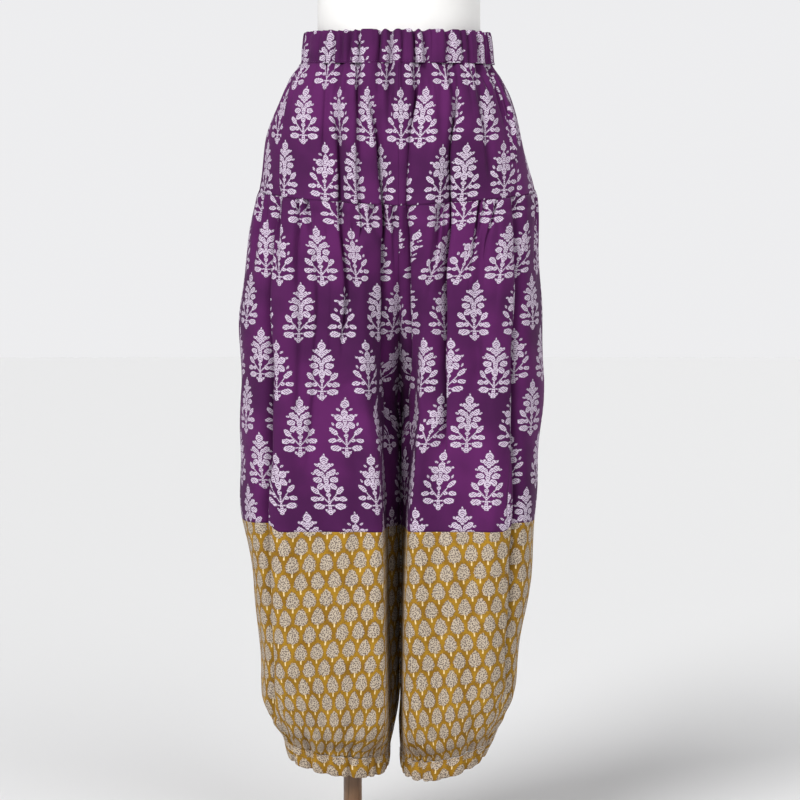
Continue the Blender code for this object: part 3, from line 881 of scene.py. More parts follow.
class NodeSheet:
    """A material's nodes, with short calls for the sums that the prints need."""

    def __init__(self, name: str) -> None:
        """Start an empty material with a Principled shader."""
        self.material = bpy.data.materials.new(name)
        self.material.use_nodes = True
        self.tree = self.material.node_tree
        self.shader = self.tree.nodes["Principled BSDF"]

    def node(self, kind: str, **settings: object) -> bpy.types.Node:
        """Add a node and set its properties."""
        node = self.tree.nodes.new(kind)
        for key, value in settings.items():
            setattr(node, key, value)
        return node

    def feed(self, socket: bpy.types.NodeSocket, value: object) -> None:
        """Link a socket to an output, or set its value."""
        if isinstance(value, bpy.types.NodeSocket):
            self.tree.links.new(value, socket)
        else:
            socket.default_value = value

    def math(
        self, operation: str, first: object, second: object = 0.0, third: object = 0.0
    ) -> bpy.types.NodeSocket:
        """Add a Math node and return its result."""
        node = self.node("ShaderNodeMath", operation=operation)
        self.feed(node.inputs[0], first)
        self.feed(node.inputs[1], second)
        self.feed(node.inputs[2], third)
        return node.outputs[0]

    def smooth(self, value: object, low: float, high: float) -> bpy.types.NodeSocket:
        """Return a smooth 0 to 1 as the value goes from low to high."""
        node = self.node("ShaderNodeMapRange", interpolation_type="SMOOTHSTEP")
        self.feed(node.inputs["Value"], value)
        self.feed(node.inputs["From Min"], low)
        self.feed(node.inputs["From Max"], high)
        return node.outputs["Result"]

    def combine(self, across: object, up: object) -> bpy.types.NodeSocket:
        """Return a vector of two numbers."""
        node = self.node("ShaderNodeCombineXYZ")
        self.feed(node.inputs[0], across)
        self.feed(node.inputs[1], up)
        return node.outputs[0]

    def mix(self, share: object, first: object, second: object) -> bpy.types.NodeSocket:
        """Return a blend of two colours."""
        node = self.node("ShaderNodeMix", data_type="RGBA")
        self.feed(node.inputs["Factor"], share)
        self.feed(node.inputs["A"], first)
        self.feed(node.inputs["B"], second)
        return node.outputs["Result"]

    def bump(self, height: object, strength: float, distance: float) -> None:
        """Give the shader a bump."""
        node = self.node("ShaderNodeBump")
        node.inputs["Strength"].default_value = strength
        node.inputs["Distance"].default_value = distance
        self.feed(node.inputs["Height"], height)
        self.feed(self.shader.inputs["Normal"], node.outputs["Normal"])

    def noise(
        self, vector: object, scale: float, detail: float = 2.0, directions: str = "2D"
    ) -> bpy.types.Node:
        """Add a noise texture read in two or three directions."""
        node = self.node("ShaderNodeTexNoise", noise_dimensions=directions)
        self.feed(node.inputs["Vector"], vector)
        node.inputs["Scale"].default_value = scale
        node.inputs["Detail"].default_value = detail
        return node

    def cloth_millimetres(
        self, wobble: float
    ) -> tuple[bpy.types.NodeSocket, bpy.types.NodeSocket, bpy.types.NodeSocket]:
        """Return the cloth's UV in millimetres, nudged a little as a hand block is."""
        uv = self.node("ShaderNodeUVMap", uv_map="cloth").outputs["UV"]
        nudge = self.noise(uv, 260.0, 1.0)
        split = self.node("ShaderNodeSeparateXYZ")
        self.feed(split.inputs[0], uv)
        tint = self.node("ShaderNodeSeparateColor")
        self.feed(tint.inputs[0], nudge.outputs["Color"])
        across = self.math("MULTIPLY_ADD", split.outputs[0], 1000.0, -0.5 * wobble)
        up = self.math("MULTIPLY_ADD", split.outputs[1], 1000.0, -0.5 * wobble)
        across = self.math("MULTIPLY_ADD", tint.outputs[0], wobble, across)
        up = self.math("MULTIPLY_ADD", tint.outputs[1], wobble, up)
        return uv, across, up


def colour(red: int, green: int, blue: int) -> tuple[float, float, float, float]:
    """Return a display colour as the linear one that a shader reads."""
    parts = [value / 255 for value in (red, green, blue)]
    linear = [p / 12.92 if p <= 0.04045 else ((p + 0.055) / 1.055) ** 2.4 for p in parts]
    return (*linear, 1.0)


class Petal(NamedTuple):
    """One ellipse of a printed motif, in millimetres from the motif's middle."""

    across: float
    up: float
    half_across: float
    half_up: float
    turn: float


ROSETTE_SPRIG = (
    Petal(0, 31.0, 5.3, 5.2, 0),
    Petal(0, 36.6, 1.1, 3.0, 0),
    Petal(0, 24.5, 0.9, 4.5, 0),
    Petal(0, 19.0, 4.2, 4.4, 0),
    Petal(7.7, 13.4, 4.1, 5.2, -60),
    Petal(7.4, 3.6, 3.9, 4.8, -126),
    Petal(0, -0.8, 3.9, 5.0, 0),
    Petal(0, 10.0, 2.6, 6.0, 0),
    Petal(0, -9.8, 2.7, 2.4, 0),
    Petal(0, -19.5, 1.1, 16.0, 0),
    Petal(0, -30.0, 2.0, 7.0, 0),
    Petal(5.6, -16.0, 0.8, 9.6, -38),
    Petal(15.6, -4.4, 2.9, 6.4, -50),
    Petal(8.6, -16.2, 2.2, 2.8, -80),
    Petal(17.4, -16.4, 2.7, 5.2, -96),
    Petal(6.0, -25.8, 0.8, 6.0, -90),
    Petal(13.4, -26.0, 3.5, 6.6, -84),
    Petal(3.6, -32.0, 1.5, 3.2, -48),
    Petal(0, -35.4, 2.9, 2.2, 0),
    Petal(8.0, 24.0, 1.3, 2.6, -62),
    Petal(14.2, 16.6, 1.3, 2.6, -72),
    Petal(15.6, 5.0, 1.3, 2.4, -30),
)

LEAFY_SPRIG = (
    Petal(0, 31.5, 5.0, 5.0, 0),
    Petal(0, 37.0, 1.1, 2.8, 0),
    Petal(4.6, 23.6, 2.4, 4.6, -36),
    Petal(0, 22.0, 2.8, 5.4, 0),
    Petal(9.0, 15.8, 3.4, 5.2, -52),
    Petal(3.4, 12.6, 2.4, 4.6, -20),
    Petal(10.4, 6.6, 3.5, 5.4, -88),
    Petal(8.0, -1.6, 3.4, 5.0, -128),
    Petal(0, -3.6, 4.0, 5.4, 0),
    Petal(0, 5.6, 3.0, 5.0, 0),
    Petal(0, -12.4, 3.0, 2.4, 0),
    Petal(0, -19.5, 1.2, 15.0, 0),
    Petal(6.4, -16.4, 0.9, 10.0, -42),
    Petal(15.8, -6.8, 3.1, 5.8, -46),
    Petal(10.0, -17.6, 2.4, 3.2, -76),
    Petal(17.6, -17.6, 3.1, 5.2, -92),
    Petal(6.6, -26.0, 0.8, 6.4, -92),
    Petal(13.6, -27.0, 3.7, 6.8, -88),
    Petal(0, -30.5, 2.2, 6.6, 0),
    Petal(3.8, -33.0, 1.5, 3.2, -52),
    Petal(0, -35.6, 3.0, 2.0, 0),
    Petal(9.4, 25.2, 1.5, 3.0, -60),
    Petal(15.2, 14.6, 1.2, 2.4, -70),
)


@dataclass(frozen=True)
class PurplePrint:
    """Purple cotton with pale sprigs in half-drop rows, each hatched with fine lines.

    A row is the nearest whole number of pitches up, but the tips of the next row's sprigs
    reach into it between its own sprigs. Every other row is shifted by half a pitch, and the
    two sprigs take turns along a row.
    """

    name: str = "purple_block_print"
    ground_deep: tuple = colour(65, 18, 66)
    ground_light: tuple = colour(87, 27, 86)
    ink: tuple = colour(204, 192, 208)
    ink_gap: tuple = colour(92, 50, 96)
    pitch_across: float = 61.0
    pitch_up: float = 73.0
    tip_overlap: float = 4.0
    wobble: float = 1.0
    misprint: float = 1.2
    roughness: float = 0.85
    sheen: float = 0.02

    def row_shift(self, sheet: NodeSheet, across: object, row: object) -> object:
        """Return the place across after every other row's half-pitch shift."""
        odd = sheet.math("FLOORED_MODULO", row, 2.0)
        return sheet.math("MULTIPLY_ADD", odd, self.pitch_across / 2, across)

    def cell(self, sheet: NodeSheet, across: object, up: object) -> tuple:
        """Return a point's place in its sprig's cell, and which of the two sprigs it is."""
        row = sheet.math("ROUND", sheet.math("DIVIDE", up, self.pitch_up))
        shifted = self.row_shift(sheet, across, row)
        local_up = sheet.math("MULTIPLY_ADD", row, -self.pitch_up, up)
        local_across = sheet.math("WRAP", shifted, self.pitch_across / 2, -self.pitch_across / 2)
        high = sheet.math(
            "GREATER_THAN",
            sheet.math("ABSOLUTE", local_up),
            self.pitch_up / 2 - self.tip_overlap,
        )
        wide = sheet.math(
            "GREATER_THAN", sheet.math("ABSOLUTE", local_across), self.pitch_across / 4
        )
        onward = sheet.math("MULTIPLY", high, wide)
        row = sheet.math("MULTIPLY_ADD", onward, sheet.math("SIGN", local_up), row)
        shifted = self.row_shift(sheet, across, row)
        column = sheet.math("ROUND", sheet.math("DIVIDE", shifted, self.pitch_across))
        chance = sheet.node("ShaderNodeTexWhiteNoise", noise_dimensions="2D")
        sheet.feed(chance.inputs["Vector"], sheet.combine(column, row))
        tint = sheet.node("ShaderNodeSeparateColor")
        sheet.feed(tint.inputs[0], chance.outputs["Color"])
        across = sheet.math("MULTIPLY_ADD", column, -self.pitch_across, shifted)
        up = sheet.math("MULTIPLY_ADD", row, -self.pitch_up, up)
        across = sheet.math("MULTIPLY_ADD", tint.outputs[0], self.misprint, across)
        up = sheet.math("MULTIPLY_ADD", tint.outputs[1], self.misprint, up)
        kind = sheet.math("FLOORED_MODULO", sheet.math("ADD", column, row), 2.0)
        centre = -0.5 * self.misprint
        return sheet.math("ADD", across, centre), sheet.math("ADD", up, centre), kind

    def sprig(self, sheet: NodeSheet, petals: Sequence[Petal], vector: object) -> object:
        """Return how near a point is to a sprig, 1 at its edge, as the least of its petals."""
        nearest: object = 9.0
        for petal in petals:
            mapping = sheet.node("ShaderNodeMapping", vector_type="TEXTURE")
            sheet.feed(mapping.inputs["Vector"], vector)
            mapping.inputs["Location"].default_value = (petal.across, petal.up, 0.0)
            mapping.inputs["Rotation"].default_value = (0.0, 0.0, math.radians(petal.turn))
            mapping.inputs["Scale"].default_value = (petal.half_across, petal.half_up, 1.0)
            length = sheet.node("ShaderNodeVectorMath", operation="LENGTH")
            sheet.feed(length.inputs[0], mapping.outputs[0])
            nearest = sheet.math("MINIMUM", nearest, length.outputs["Value"])
        return nearest

    def make(self) -> bpy.types.Material:
        """Build the material."""
        sheet = NodeSheet(self.name)
        uv, across, up = sheet.cloth_millimetres(self.wobble)
        cell_across, cell_up, kind = self.cell(sheet, across, up)
        vector = sheet.combine(sheet.math("ABSOLUTE", cell_across), cell_up)
        first = self.sprig(sheet, ROSETTE_SPRIG, vector)
        second = self.sprig(sheet, LEAFY_SPRIG, vector)
        change = sheet.math("SUBTRACT", second, first)
        nearest = sheet.math("MULTIPLY_ADD", kind, change, first)
        ragged = sheet.noise(uv, 620.0, 1.0)
        nearest = sheet.math("MULTIPLY_ADD", ragged.outputs["Fac"], 0.60, nearest)
        printed = sheet.smooth(nearest, 1.37, 1.24)
        inside = sheet.smooth(nearest, 1.12, 0.92)
        slant = sheet.math("MULTIPLY_ADD", cell_up, 1.4, sheet.math("ABSOLUTE", cell_across))
        hatch = sheet.smooth(sheet.math("SINE", sheet.math("MULTIPLY", slant, 1.6)), -0.2, 0.5)
        hatched = sheet.math("MULTIPLY", sheet.math("MULTIPLY", inside, hatch), 0.92)
        ink = sheet.mix(hatched, self.ink, self.ink_gap)
        blotch = sheet.noise(uv, 9.0, 3.0)
        ground = sheet.mix(
            sheet.smooth(blotch.outputs["Fac"], 0.3, 0.7), self.ground_deep, self.ground_light
        )
        wear = sheet.noise(uv, 900.0, 1.0)
        worn = sheet.smooth(wear.outputs["Fac"], 0.36, 0.56)
        cover = sheet.math("MULTIPLY", printed, sheet.math("MULTIPLY_ADD", worn, 0.16, 0.84))
        sheet.feed(sheet.shader.inputs["Base Color"], sheet.mix(cover, ground, ink))
        finish_cotton(sheet, across, up, self.roughness, self.sheen)
        return sheet.material


@dataclass(frozen=True)
class OchrePrint:
    """Ochre cotton with small rounded leaf trees in half-drop rows, stippled inside."""

    name: str = "ochre_leaf_print"
    ground_deep: tuple = colour(134, 97, 20)
    ground_light: tuple = colour(158, 119, 29)
    leaf: tuple = colour(183, 169, 150)
    stipple: tuple = colour(62, 46, 50)
    stem: tuple = colour(226, 206, 160)
    pitch_across: float = 21.6
    pitch_up: float = 22.6
    half_width: float = 8.1
    half_height: float = 10.9
    roughness: float = 0.85
    sheen: float = 0.02

    def tree(
        self, sheet: NodeSheet, across: object, up: object, shift: float
    ) -> tuple[bpy.types.NodeSocket, bpy.types.NodeSocket]:
        """Return how near a point is to a leaf tree, 1 at its edge, and to its stem.

        The tree is an egg: an ellipse whose width shrinks towards the top.
        """
        local_across = sheet.math(
            "WRAP",
            sheet.math("ADD", across, shift * self.pitch_across / 2),
            self.pitch_across / 2,
            -self.pitch_across / 2,
        )
        local_up = sheet.math(
            "WRAP", sheet.math("ADD", up, shift * self.pitch_up), self.pitch_up, -self.pitch_up
        )
        high = sheet.math("DIVIDE", local_up, self.half_height)
        width = sheet.math("MULTIPLY_ADD", high, -0.36 * self.half_width, self.half_width)
        wide = sheet.math("DIVIDE", local_across, width)
        squares = sheet.math("ADD", sheet.math("POWER", wide, 2.0), sheet.math("POWER", high, 2.0))
        stem_across = sheet.math("DIVIDE", sheet.math("ABSOLUTE", local_across), 0.9)
        stem_up = sheet.math(
            "DIVIDE",
            sheet.math("ABSOLUTE", sheet.math("ADD", local_up, self.half_height + 2.0)),
            2.9,
        )
        return sheet.math("SQRT", squares), sheet.math("MAXIMUM", stem_across, stem_up)

    def make(self) -> bpy.types.Material:
        """Build the material."""
        sheet = NodeSheet(self.name)
        uv, across, up = sheet.cloth_millimetres(0.9)
        first, first_stem = self.tree(sheet, across, up, 0.0)
        second, second_stem = self.tree(sheet, across, up, 1.0)
        edge_noise = sheet.noise(uv, 420.0, 1.0)
        nearest = sheet.math("MINIMUM", first, second)
        nearest = sheet.math("MULTIPLY_ADD", edge_noise.outputs["Fac"], 0.40, nearest)
        stems = sheet.smooth(sheet.math("MINIMUM", first_stem, second_stem), 1.2, 0.9)
        leaf = sheet.smooth(nearest, 1.22, 1.12)
        dots = sheet.node("ShaderNodeTexVoronoi", voronoi_dimensions="2D")
        sheet.feed(dots.inputs["Vector"], uv)
        dots.inputs["Scale"].default_value = 470.0
        dot = sheet.smooth(dots.outputs["Distance"], 0.42, 0.26)
        near_edge = sheet.smooth(nearest, 1.45, 1.25)
        speck = sheet.math("MULTIPLY", sheet.math("MULTIPLY", dot, near_edge), 0.55)
        blotch = sheet.noise(uv, 40.0, 3.0)
        ground = sheet.mix(
            sheet.smooth(blotch.outputs["Fac"], 0.3, 0.7), self.ground_deep, self.ground_light
        )
        ground = sheet.mix(stems, ground, self.stem)
        ground = sheet.mix(speck, ground, self.stipple)
        filled = sheet.mix(sheet.math("MULTIPLY", dot, 0.85), self.leaf, self.stipple)
        sheet.feed(sheet.shader.inputs["Base Color"], sheet.mix(leaf, ground, filled))
        finish_cotton(sheet, across, up, self.roughness, self.sheen)
        return sheet.material


def finish_cotton(
    sheet: NodeSheet, across: object, up: object, roughness: float, sheen: float
) -> None:
    """Add a plain weave's bump, as warp waves times weft waves, and cotton's dull sheen."""
    warp = sheet.math("SINE", sheet.math("MULTIPLY", across, 2 * math.pi / 0.55))
    weft = sheet.math("SINE", sheet.math("MULTIPLY", up, 2 * math.pi / 0.55))
    weave = sheet.math("MULTIPLY", warp, weft)
    slub = sheet.noise(sheet.combine(sheet.math("MULTIPLY", across, 0.15), up), 0.9, 2.0)
    relief = sheet.math("MULTIPLY_ADD", slub.outputs["Fac"], 1.6, weave)
    sheet.bump(relief, 0.22, 0.00012)
    sheet.shader.inputs["Roughness"].default_value = roughness
    sheet.shader.inputs["Sheen Weight"].default_value = sheen
    sheet.shader.inputs["Sheen Roughness"].default_value = 0.5
    sheet.shader.inputs["Specular IOR Level"].default_value = 0.18


@dataclass(frozen=True)
class Thread:
    """Twisted sewing thread."""

    name: str
    shade: tuple

    def make(self) -> bpy.types.Material:
        """Build the material, with a faint twist across each stitch."""
        sheet = NodeSheet(self.name)
        where = sheet.node("ShaderNodeTexCoord").outputs["Object"]
        noise = sheet.noise(where, 1500.0, directions="3D")
        darker = tuple(0.7 * part for part in self.shade[:3]) + (1.0,)
        sheet.feed(
            sheet.shader.inputs["Base Color"],
            sheet.mix(noise.outputs["Fac"], darker, self.shade),
        )
        sheet.shader.inputs["Roughness"].default_value = 0.6
        return sheet.material


@dataclass(frozen=True)
class FormCover:
    """The dress form's smooth white cover, barely mottled."""

    name: str = "form_white_cover"

    def make(self) -> bpy.types.Material:
        """Build the material."""
        sheet = NodeSheet(self.name)
        where = sheet.node("ShaderNodeTexCoord").outputs["Object"]
        noise = sheet.noise(where, 14.0, 4.0, "3D")
        fine = sheet.noise(where, 900.0, directions="3D")
        sheet.feed(
            sheet.shader.inputs["Base Color"],
            sheet.mix(noise.outputs["Fac"], colour(222, 221, 219), colour(238, 237, 235)),
        )
        sheet.bump(fine.outputs["Fac"], 0.15, 0.0002)
        sheet.shader.inputs["Roughness"].default_value = 0.55
        return sheet.material


@dataclass(frozen=True)
class StandWood:
    """Brown stained wood under satin varnish, its grain along Z or across the base."""

    name: str
    along: tuple[float, float, float]

    def make(self) -> bpy.types.Material:
        """Build the material: noise stretched along the grain, with fine dark pores."""
        sheet = NodeSheet(self.name)
        where = sheet.node("ShaderNodeTexCoord").outputs["Object"]
        mapping = sheet.node("ShaderNodeMapping")
        sheet.feed(mapping.inputs["Vector"], where)
        mapping.inputs["Scale"].default_value = self.along
        grain = sheet.noise(mapping.outputs[0], 60.0, 6.0, "3D")
        pores = sheet.noise(mapping.outputs[0], 420.0, directions="3D")
        base = sheet.mix(
            sheet.smooth(grain.outputs["Fac"], 0.35, 0.65), colour(98, 70, 48), colour(142, 110, 82)
        )
        pore = sheet.smooth(pores.outputs["Fac"], 0.62, 0.72)
        sheet.feed(
            sheet.shader.inputs["Base Color"],
            sheet.mix(sheet.math("MULTIPLY", pore, 0.5), base, colour(60, 40, 28)),
        )
        sheet.bump(grain.outputs["Fac"], 0.2, 0.0003)
        sheet.shader.inputs["Roughness"].default_value = 0.38
        sheet.shader.inputs["Coat Weight"].default_value = 0.3
        sheet.shader.inputs["Coat Roughness"].default_value = 0.25
        return sheet.material


class Cut(NamedTuple):
    """A panel's flat cut: its greatest width and length, and its area."""

    width: float
    length: float
    area: float


@dataclass
class PanelPiece:
    """One cut panel of a tier, between the side seam and the rise or inseam."""

    tier: Tier
    side: Side
    face: Face
    print_shift: tuple[float, float] = (0.0, 0.0)
    column_step: float = 0.0027
    wall: float = 0.0009

    @property
    def node(self) -> str:
        """Return the name of the solid that this panel stands for."""
        return f"{self.tier.name}_{self.face.value}_{self.side.value}"

    def cloth_across(self, runs: np.ndarray) -> np.ndarray:
        """Return each column's place across the flat cloth, by the seam it is squared to.

        Little gathers come and go within a few rows while the threads run straight down, so
        the length along each row is first averaged over many rows, with a bell as weights.
        """
        rows = np.arange(len(runs))
        bell = np.exp(-(((rows[:, None] - rows[None, :]) * self.tier.row_step / 0.030) ** 2))
        runs = (bell / bell.sum(axis=1, keepdims=True)) @ runs
        ends = runs[:, -1:]
        if self.tier.anchor is not Anchor.SIDE_SEAM:
            runs = runs * ends.max() / ends
            ends = ends.max()
        if self.tier.anchor is Anchor.CENTRE:
            return self.side.sign * (ends - runs)
        face = 1.0 if self.face is Face.FRONT else -1.0
        return -self.side.sign * face * runs

    def surface(self) -> Surface:
        """Work out the panel's grid, a row at each level."""
        tier = self.tier
        row_count = round((tier.top - tier.bottom) / tier.row_step) + 1
        heights = np.linspace(tier.top, tier.bottom, row_count)
        outlines = [leg_outline(self.side, height, tier.pleats) for height in heights]
        front = self.face is Face.FRONT
        ends = [abs(outline.cloth[-1 if front else 0]) for outline in outlines]
        columns = round(max(ends) / self.column_step)
        points, cloth, outward = [], [], []
        for outline, height in zip(outlines, heights):
            places = crowded_places(outline, self.face, columns, height)
            row_points, row_outward = place_points(outline, places, self.side, height, 0.0)
            points.append(row_points)
            outward.append(row_outward)
            cloth.append(np.abs(np.interp(places, outline.along, outline.cloth)))
        grid = np.array(points)
        steps = np.linalg.norm(np.diff(grid, axis=0), axis=2)
        down = np.concatenate([[0.0], np.cumsum(np.median(steps, axis=1))])
        across = self.cloth_across(np.array(cloth)) + self.print_shift[0]
        up = (self.print_shift[1] - down)[:, None] - self.tier.slant * across
        self.cut = self.flat_cut(grid, max(ends), float(down[-1]))
        return Surface(grid, np.stack([across, up], axis=2), np.array(outward))

    @staticmethod
    def flat_cut(grid: np.ndarray, width: float, length: float) -> Cut:
        """Return the flat cut: the sum of the grid's quads, and the sizes round it."""
        first = grid[1:, 1:] - grid[:-1, :-1]
        second = grid[1:, :-1] - grid[:-1, 1:]
        area = float(np.linalg.norm(np.cross(first, second), axis=2).sum() / 2)
        return Cut(round(width, 3), round(length, 3), round(min(area, width * length), 4))

    def build(self, material: bpy.types.Material, slot: str, rests_on: list[str]) -> None:
        """Make the panel with its wall and material, and hide the solid that it stands for."""
        piece = make_mesh(f"{self.node}_cloth", self.surface())
        thicken(piece, self.wall)
        dress(piece, material, slot, self.node)


@dataclass
class CasingPiece:
    """A folded elastic casing all the way round the waist or one ankle."""

    node: str
    slot: str
    top: float
    bottom: float
    pleats: Pleats
    wall: float
    round_trip: tuple[tuple[Side, tuple[tuple[Face, bool], ...]], ...]
    print_shift: tuple[float, float] = (0.0, 0.0)
    roll_at_top: bool = True
    bulge: float = 0.0012
    column_step: float = 0.0021
    path_step: float = 0.0008
    rows: int = 14
    roll_rows: int = 5
    edge_wave: float = 0.24

    @property
    def seam_edge(self) -> float:
        """Return the height of the edge that is sewn on."""
        return self.bottom if self.roll_at_top else self.top

    @property
    def free_edge(self) -> float:
        """Return the height of the folded edge."""
        return self.top if self.roll_at_top else self.bottom

    def column_counts(self, height: float, step: float) -> dict[tuple[Side, Face], int]:
        """Return how many columns of about one step each stretch of the casing has."""
        columns = {}
        for side, faces in self.round_trip:
            outline = leg_outline(side, height, (self.pleats,), fine=False)
            for face, _ in faces:
                end = outline.cloth[-1 if face is Face.FRONT else 0]
                columns[side, face] = round(abs(end) / step)
        return columns

    def ring(
        self, height: float, moved_out: float, columns: dict[tuple[Side, Face], int]
    ) -> tuple[np.ndarray, np.ndarray, np.ndarray]:
        """Return one closed ring of points, its cloth places and outward directions."""
        points, cloth, outward, start = [], [], [], 0.0
        for side, faces in self.round_trip:
            outline = leg_outline(side, height, (self.pleats,), fine=False)
            for face, backwards in faces:
                end = outline.front_length if face is Face.FRONT else -outline.back_length
                places = np.linspace(0.0, end, columns[side, face] + 1)
                if backwards:
                    places = places[::-1]
                row, away = place_points(outline, places, side, height, moved_out)
                pressed = np.interp(
                    places, outline.along, self.pleats.inward(outline, side, height)
                )
                free = (height - self.seam_edge) / (self.free_edge - self.seam_edge)
                way = 1.0 if self.roll_at_top else -1.0
                row[:, 2] -= way * self.edge_wave * pressed * max(free, 0.0)
                run = np.abs(np.interp(places, outline.along, outline.cloth))
                run = start + np.abs(run - run[0])
                start = float(run[-1])
                points.append(row[:-1])
                outward.append(away[:-1])
                cloth.append(run[:-1])
        points.append(points[0][:1])
        outward.append(outward[0][:1])
        cloth.append(np.array([start]))
        return np.concatenate(points), np.concatenate(cloth), np.concatenate(outward)

    def build(
        self, material: bpy.types.Material, held: Held, rests_on: list[str]
    ) -> bpy.types.Object:
        """Make the casing: an outer wall, a rolled edge and an inner wall in one strip.

        The profile climbs the outer wall with a slight bulge, goes round a half circle as
        thick as the casing, and comes down inside.
        """
        columns = self.column_counts((self.top + self.bottom) / 2, self.column_step)
        radius = self.wall / 2
        open_edge, rolled = self.bottom, self.top - radius
        if not self.roll_at_top:
            open_edge, rolled = self.top, self.bottom + radius
        share = np.linspace(0, 1, self.rows)
        turn = np.linspace(0, math.pi, self.roll_rows + 2)[1:-1]
        way = 1.0 if self.roll_at_top else -1.0
        heights = np.concatenate(
            [
                open_edge + share * (rolled - open_edge),
                rolled + way * radius * np.sin(turn),
                rolled + share[::2] * (open_edge - rolled),
            ]
        )
        offsets = np.concatenate(
            [
                self.bulge * (1 - (2 * share - 1) ** 2),
                -radius + radius * np.cos(turn),
                np.full(len(share[::2]), -self.wall),
            ]
        )
        rings = [self.ring(h, out, columns) for h, out in zip(heights, offsets)]
        grid = np.array([ring[0] for ring in rings])
        across = np.array([ring[1] for ring in rings]) + self.print_shift[0]
        steps = np.hypot(np.diff(heights), np.diff(offsets))
        up = way * np.concatenate([[0.0], np.cumsum(steps)]) + self.print_shift[1]
        cloth = np.stack([across, np.broadcast_to(up[:, None], across.shape)], axis=2)
        surface = Surface(grid, cloth, np.array([ring[2] for ring in rings]))
        surface.outward[self.rows :] = 0.0
        piece = make_mesh(f"{self.node}_cloth", surface, closed=True)
        dress(piece, material, self.slot, self.node)
        return piece

    def path(self, height: float, moved_out: float) -> tuple[np.ndarray, np.ndarray]:
        """Return a closed line of points round the casing, and their outward directions."""
        columns = self.column_counts(height, self.path_step)
        points, _, outward = self.ring(height, moved_out, columns)
        return points, outward


@dataclass
class StitchLine:
    """A row of stitches along a line, each a short bead with six sides."""

    name: str
    spacing: float = 0.0036
    length: float = 0.0026
    radius: float = 0.00028
    sides: int = 6

    def build(
        self,
        points: np.ndarray,
        outward: np.ndarray,
        material: bpy.types.Material,
        slot: str,
    ) -> None:
        """Make the stitches as one mesh.

        A stitch is a spindle: rings of radius r sin(pi t) along the line, for t from 0 to 1.
        """
        steps = np.linalg.norm(np.diff(points, axis=0), axis=1)
        run = np.concatenate([[0.0], np.cumsum(steps)])
        count = int(run[-1] / self.spacing)
        starts = np.arange(count) * self.spacing
        profile = np.array([0.06, 0.3, 0.7, 0.94])
        at = starts[:, None] + profile[None, :] * self.length
        centre = np.stack([np.interp(at, run, points[:, axis]) for axis in range(3)], axis=2)
        away = np.stack([np.interp(at, run, outward[:, axis]) for axis in range(3)], axis=2)
        ahead = centre[:, -1:, :] - centre[:, :1, :]
        ahead = ahead / np.linalg.norm(ahead, axis=2, keepdims=True)
        across = np.cross(ahead, away)
        across /= np.linalg.norm(across, axis=2, keepdims=True)
        angles = np.arange(self.sides) * 2 * math.pi / self.sides
        radius = self.radius * np.sin(math.pi * profile)[None, :, None, None]
        circle = np.cos(angles)[None, None, :, None] * away[:, :, None, :]
        circle = circle + np.sin(angles)[None, None, :, None] * across[:, :, None, :]
        verts = centre[:, :, None, :] + radius * circle
        rings = len(profile)
        stitch, ring, corner = np.meshgrid(
            np.arange(count), np.arange(rings - 1), np.arange(self.sides), indexing="ij"
        )
        base = (stitch * rings + ring) * self.sides
        following = (corner + 1) % self.sides
        faces = np.stack(
            [
                base + corner,
                base + following,
                base + self.sides + following,
                base + self.sides + corner,
            ],
            axis=-1,
        ).reshape(-1, 4)
        ends = np.arange(count)[:, None] * rings * self.sides
        first_caps = ends + np.arange(self.sides)[::-1][None, :]
        last_caps = ends + (rings - 1) * self.sides + np.arange(self.sides)[None, :]
        mesh = bpy.data.meshes.new(self.name)
        every = faces.tolist() + first_caps.tolist() + last_caps.tolist()
        mesh.from_pydata(verts.reshape(-1, 3).tolist(), [], every)
        mesh.shade_smooth()
        piece = bpy.data.objects.new(self.name, mesh)
        bpy.context.scene.collection.objects.link(piece)
        turn_outwards(piece)
        dress(piece, material, slot)


def turn_outwards(piece: bpy.types.Object) -> None:
    """Recalculate a closed mesh's normals so that they point out."""
    builder = bmesh.new()
    builder.from_mesh(piece.data)
    bmesh.ops.recalc_face_normals(builder, faces=builder.faces)
    builder.to_mesh(piece.data)
    builder.free()


@dataclass
class PocketEdge:
    """The turned edge of the side pocket, standing a little open at the wearer's left hip."""

    top: float = 1.006
    bottom: float = 0.900
    width: float = 0.0115
    lift: float = 0.0008
    gape: float = 0.0045
    wall: float = 0.0009
    rows: int = 60
    columns: int = 10

    def build(self, material: bpy.types.Material) -> None:
        """Make the edge: the yoke's own outline moved out, most at the middle of its seam."""
        heights = np.linspace(self.top, self.bottom, self.rows)
        points, cloth, outward = [], [], []
        for index, height in enumerate(heights):
            outline = leg_outline(Side.LEFT, height, (WAIST_PLEATS,))
            share = index / (self.rows - 1)
            places = np.linspace(0.0, self.width, self.columns)
            opening = self.gape * math.sin(math.pi * share) * (1 - places / self.width) ** 2
            row, away = place_points(outline, places, Side.LEFT, height, 0.0)
            row = row + away * (self.lift + opening)[:, None]
            points.append(row)
            outward.append(away)
            cloth.append(np.stack([places + 0.4, np.full_like(places, -0.105 * share)], axis=1))
        grid = np.array(points)
        width = float(np.linalg.norm(np.diff(grid, axis=1), axis=2).sum(axis=1).max())
        length = float(np.linalg.norm(np.diff(grid, axis=0), axis=2).sum(axis=0).max())
        cut = PanelPiece.flat_cut(grid, width, length)
        piece = make_mesh(
            "pocket_edge_left_cloth", Surface(grid, np.array(cloth), np.array(outward))
        )
        thicken(piece, self.wall)
        dress(piece, material, "purple_cotton", "pocket_edge_left")


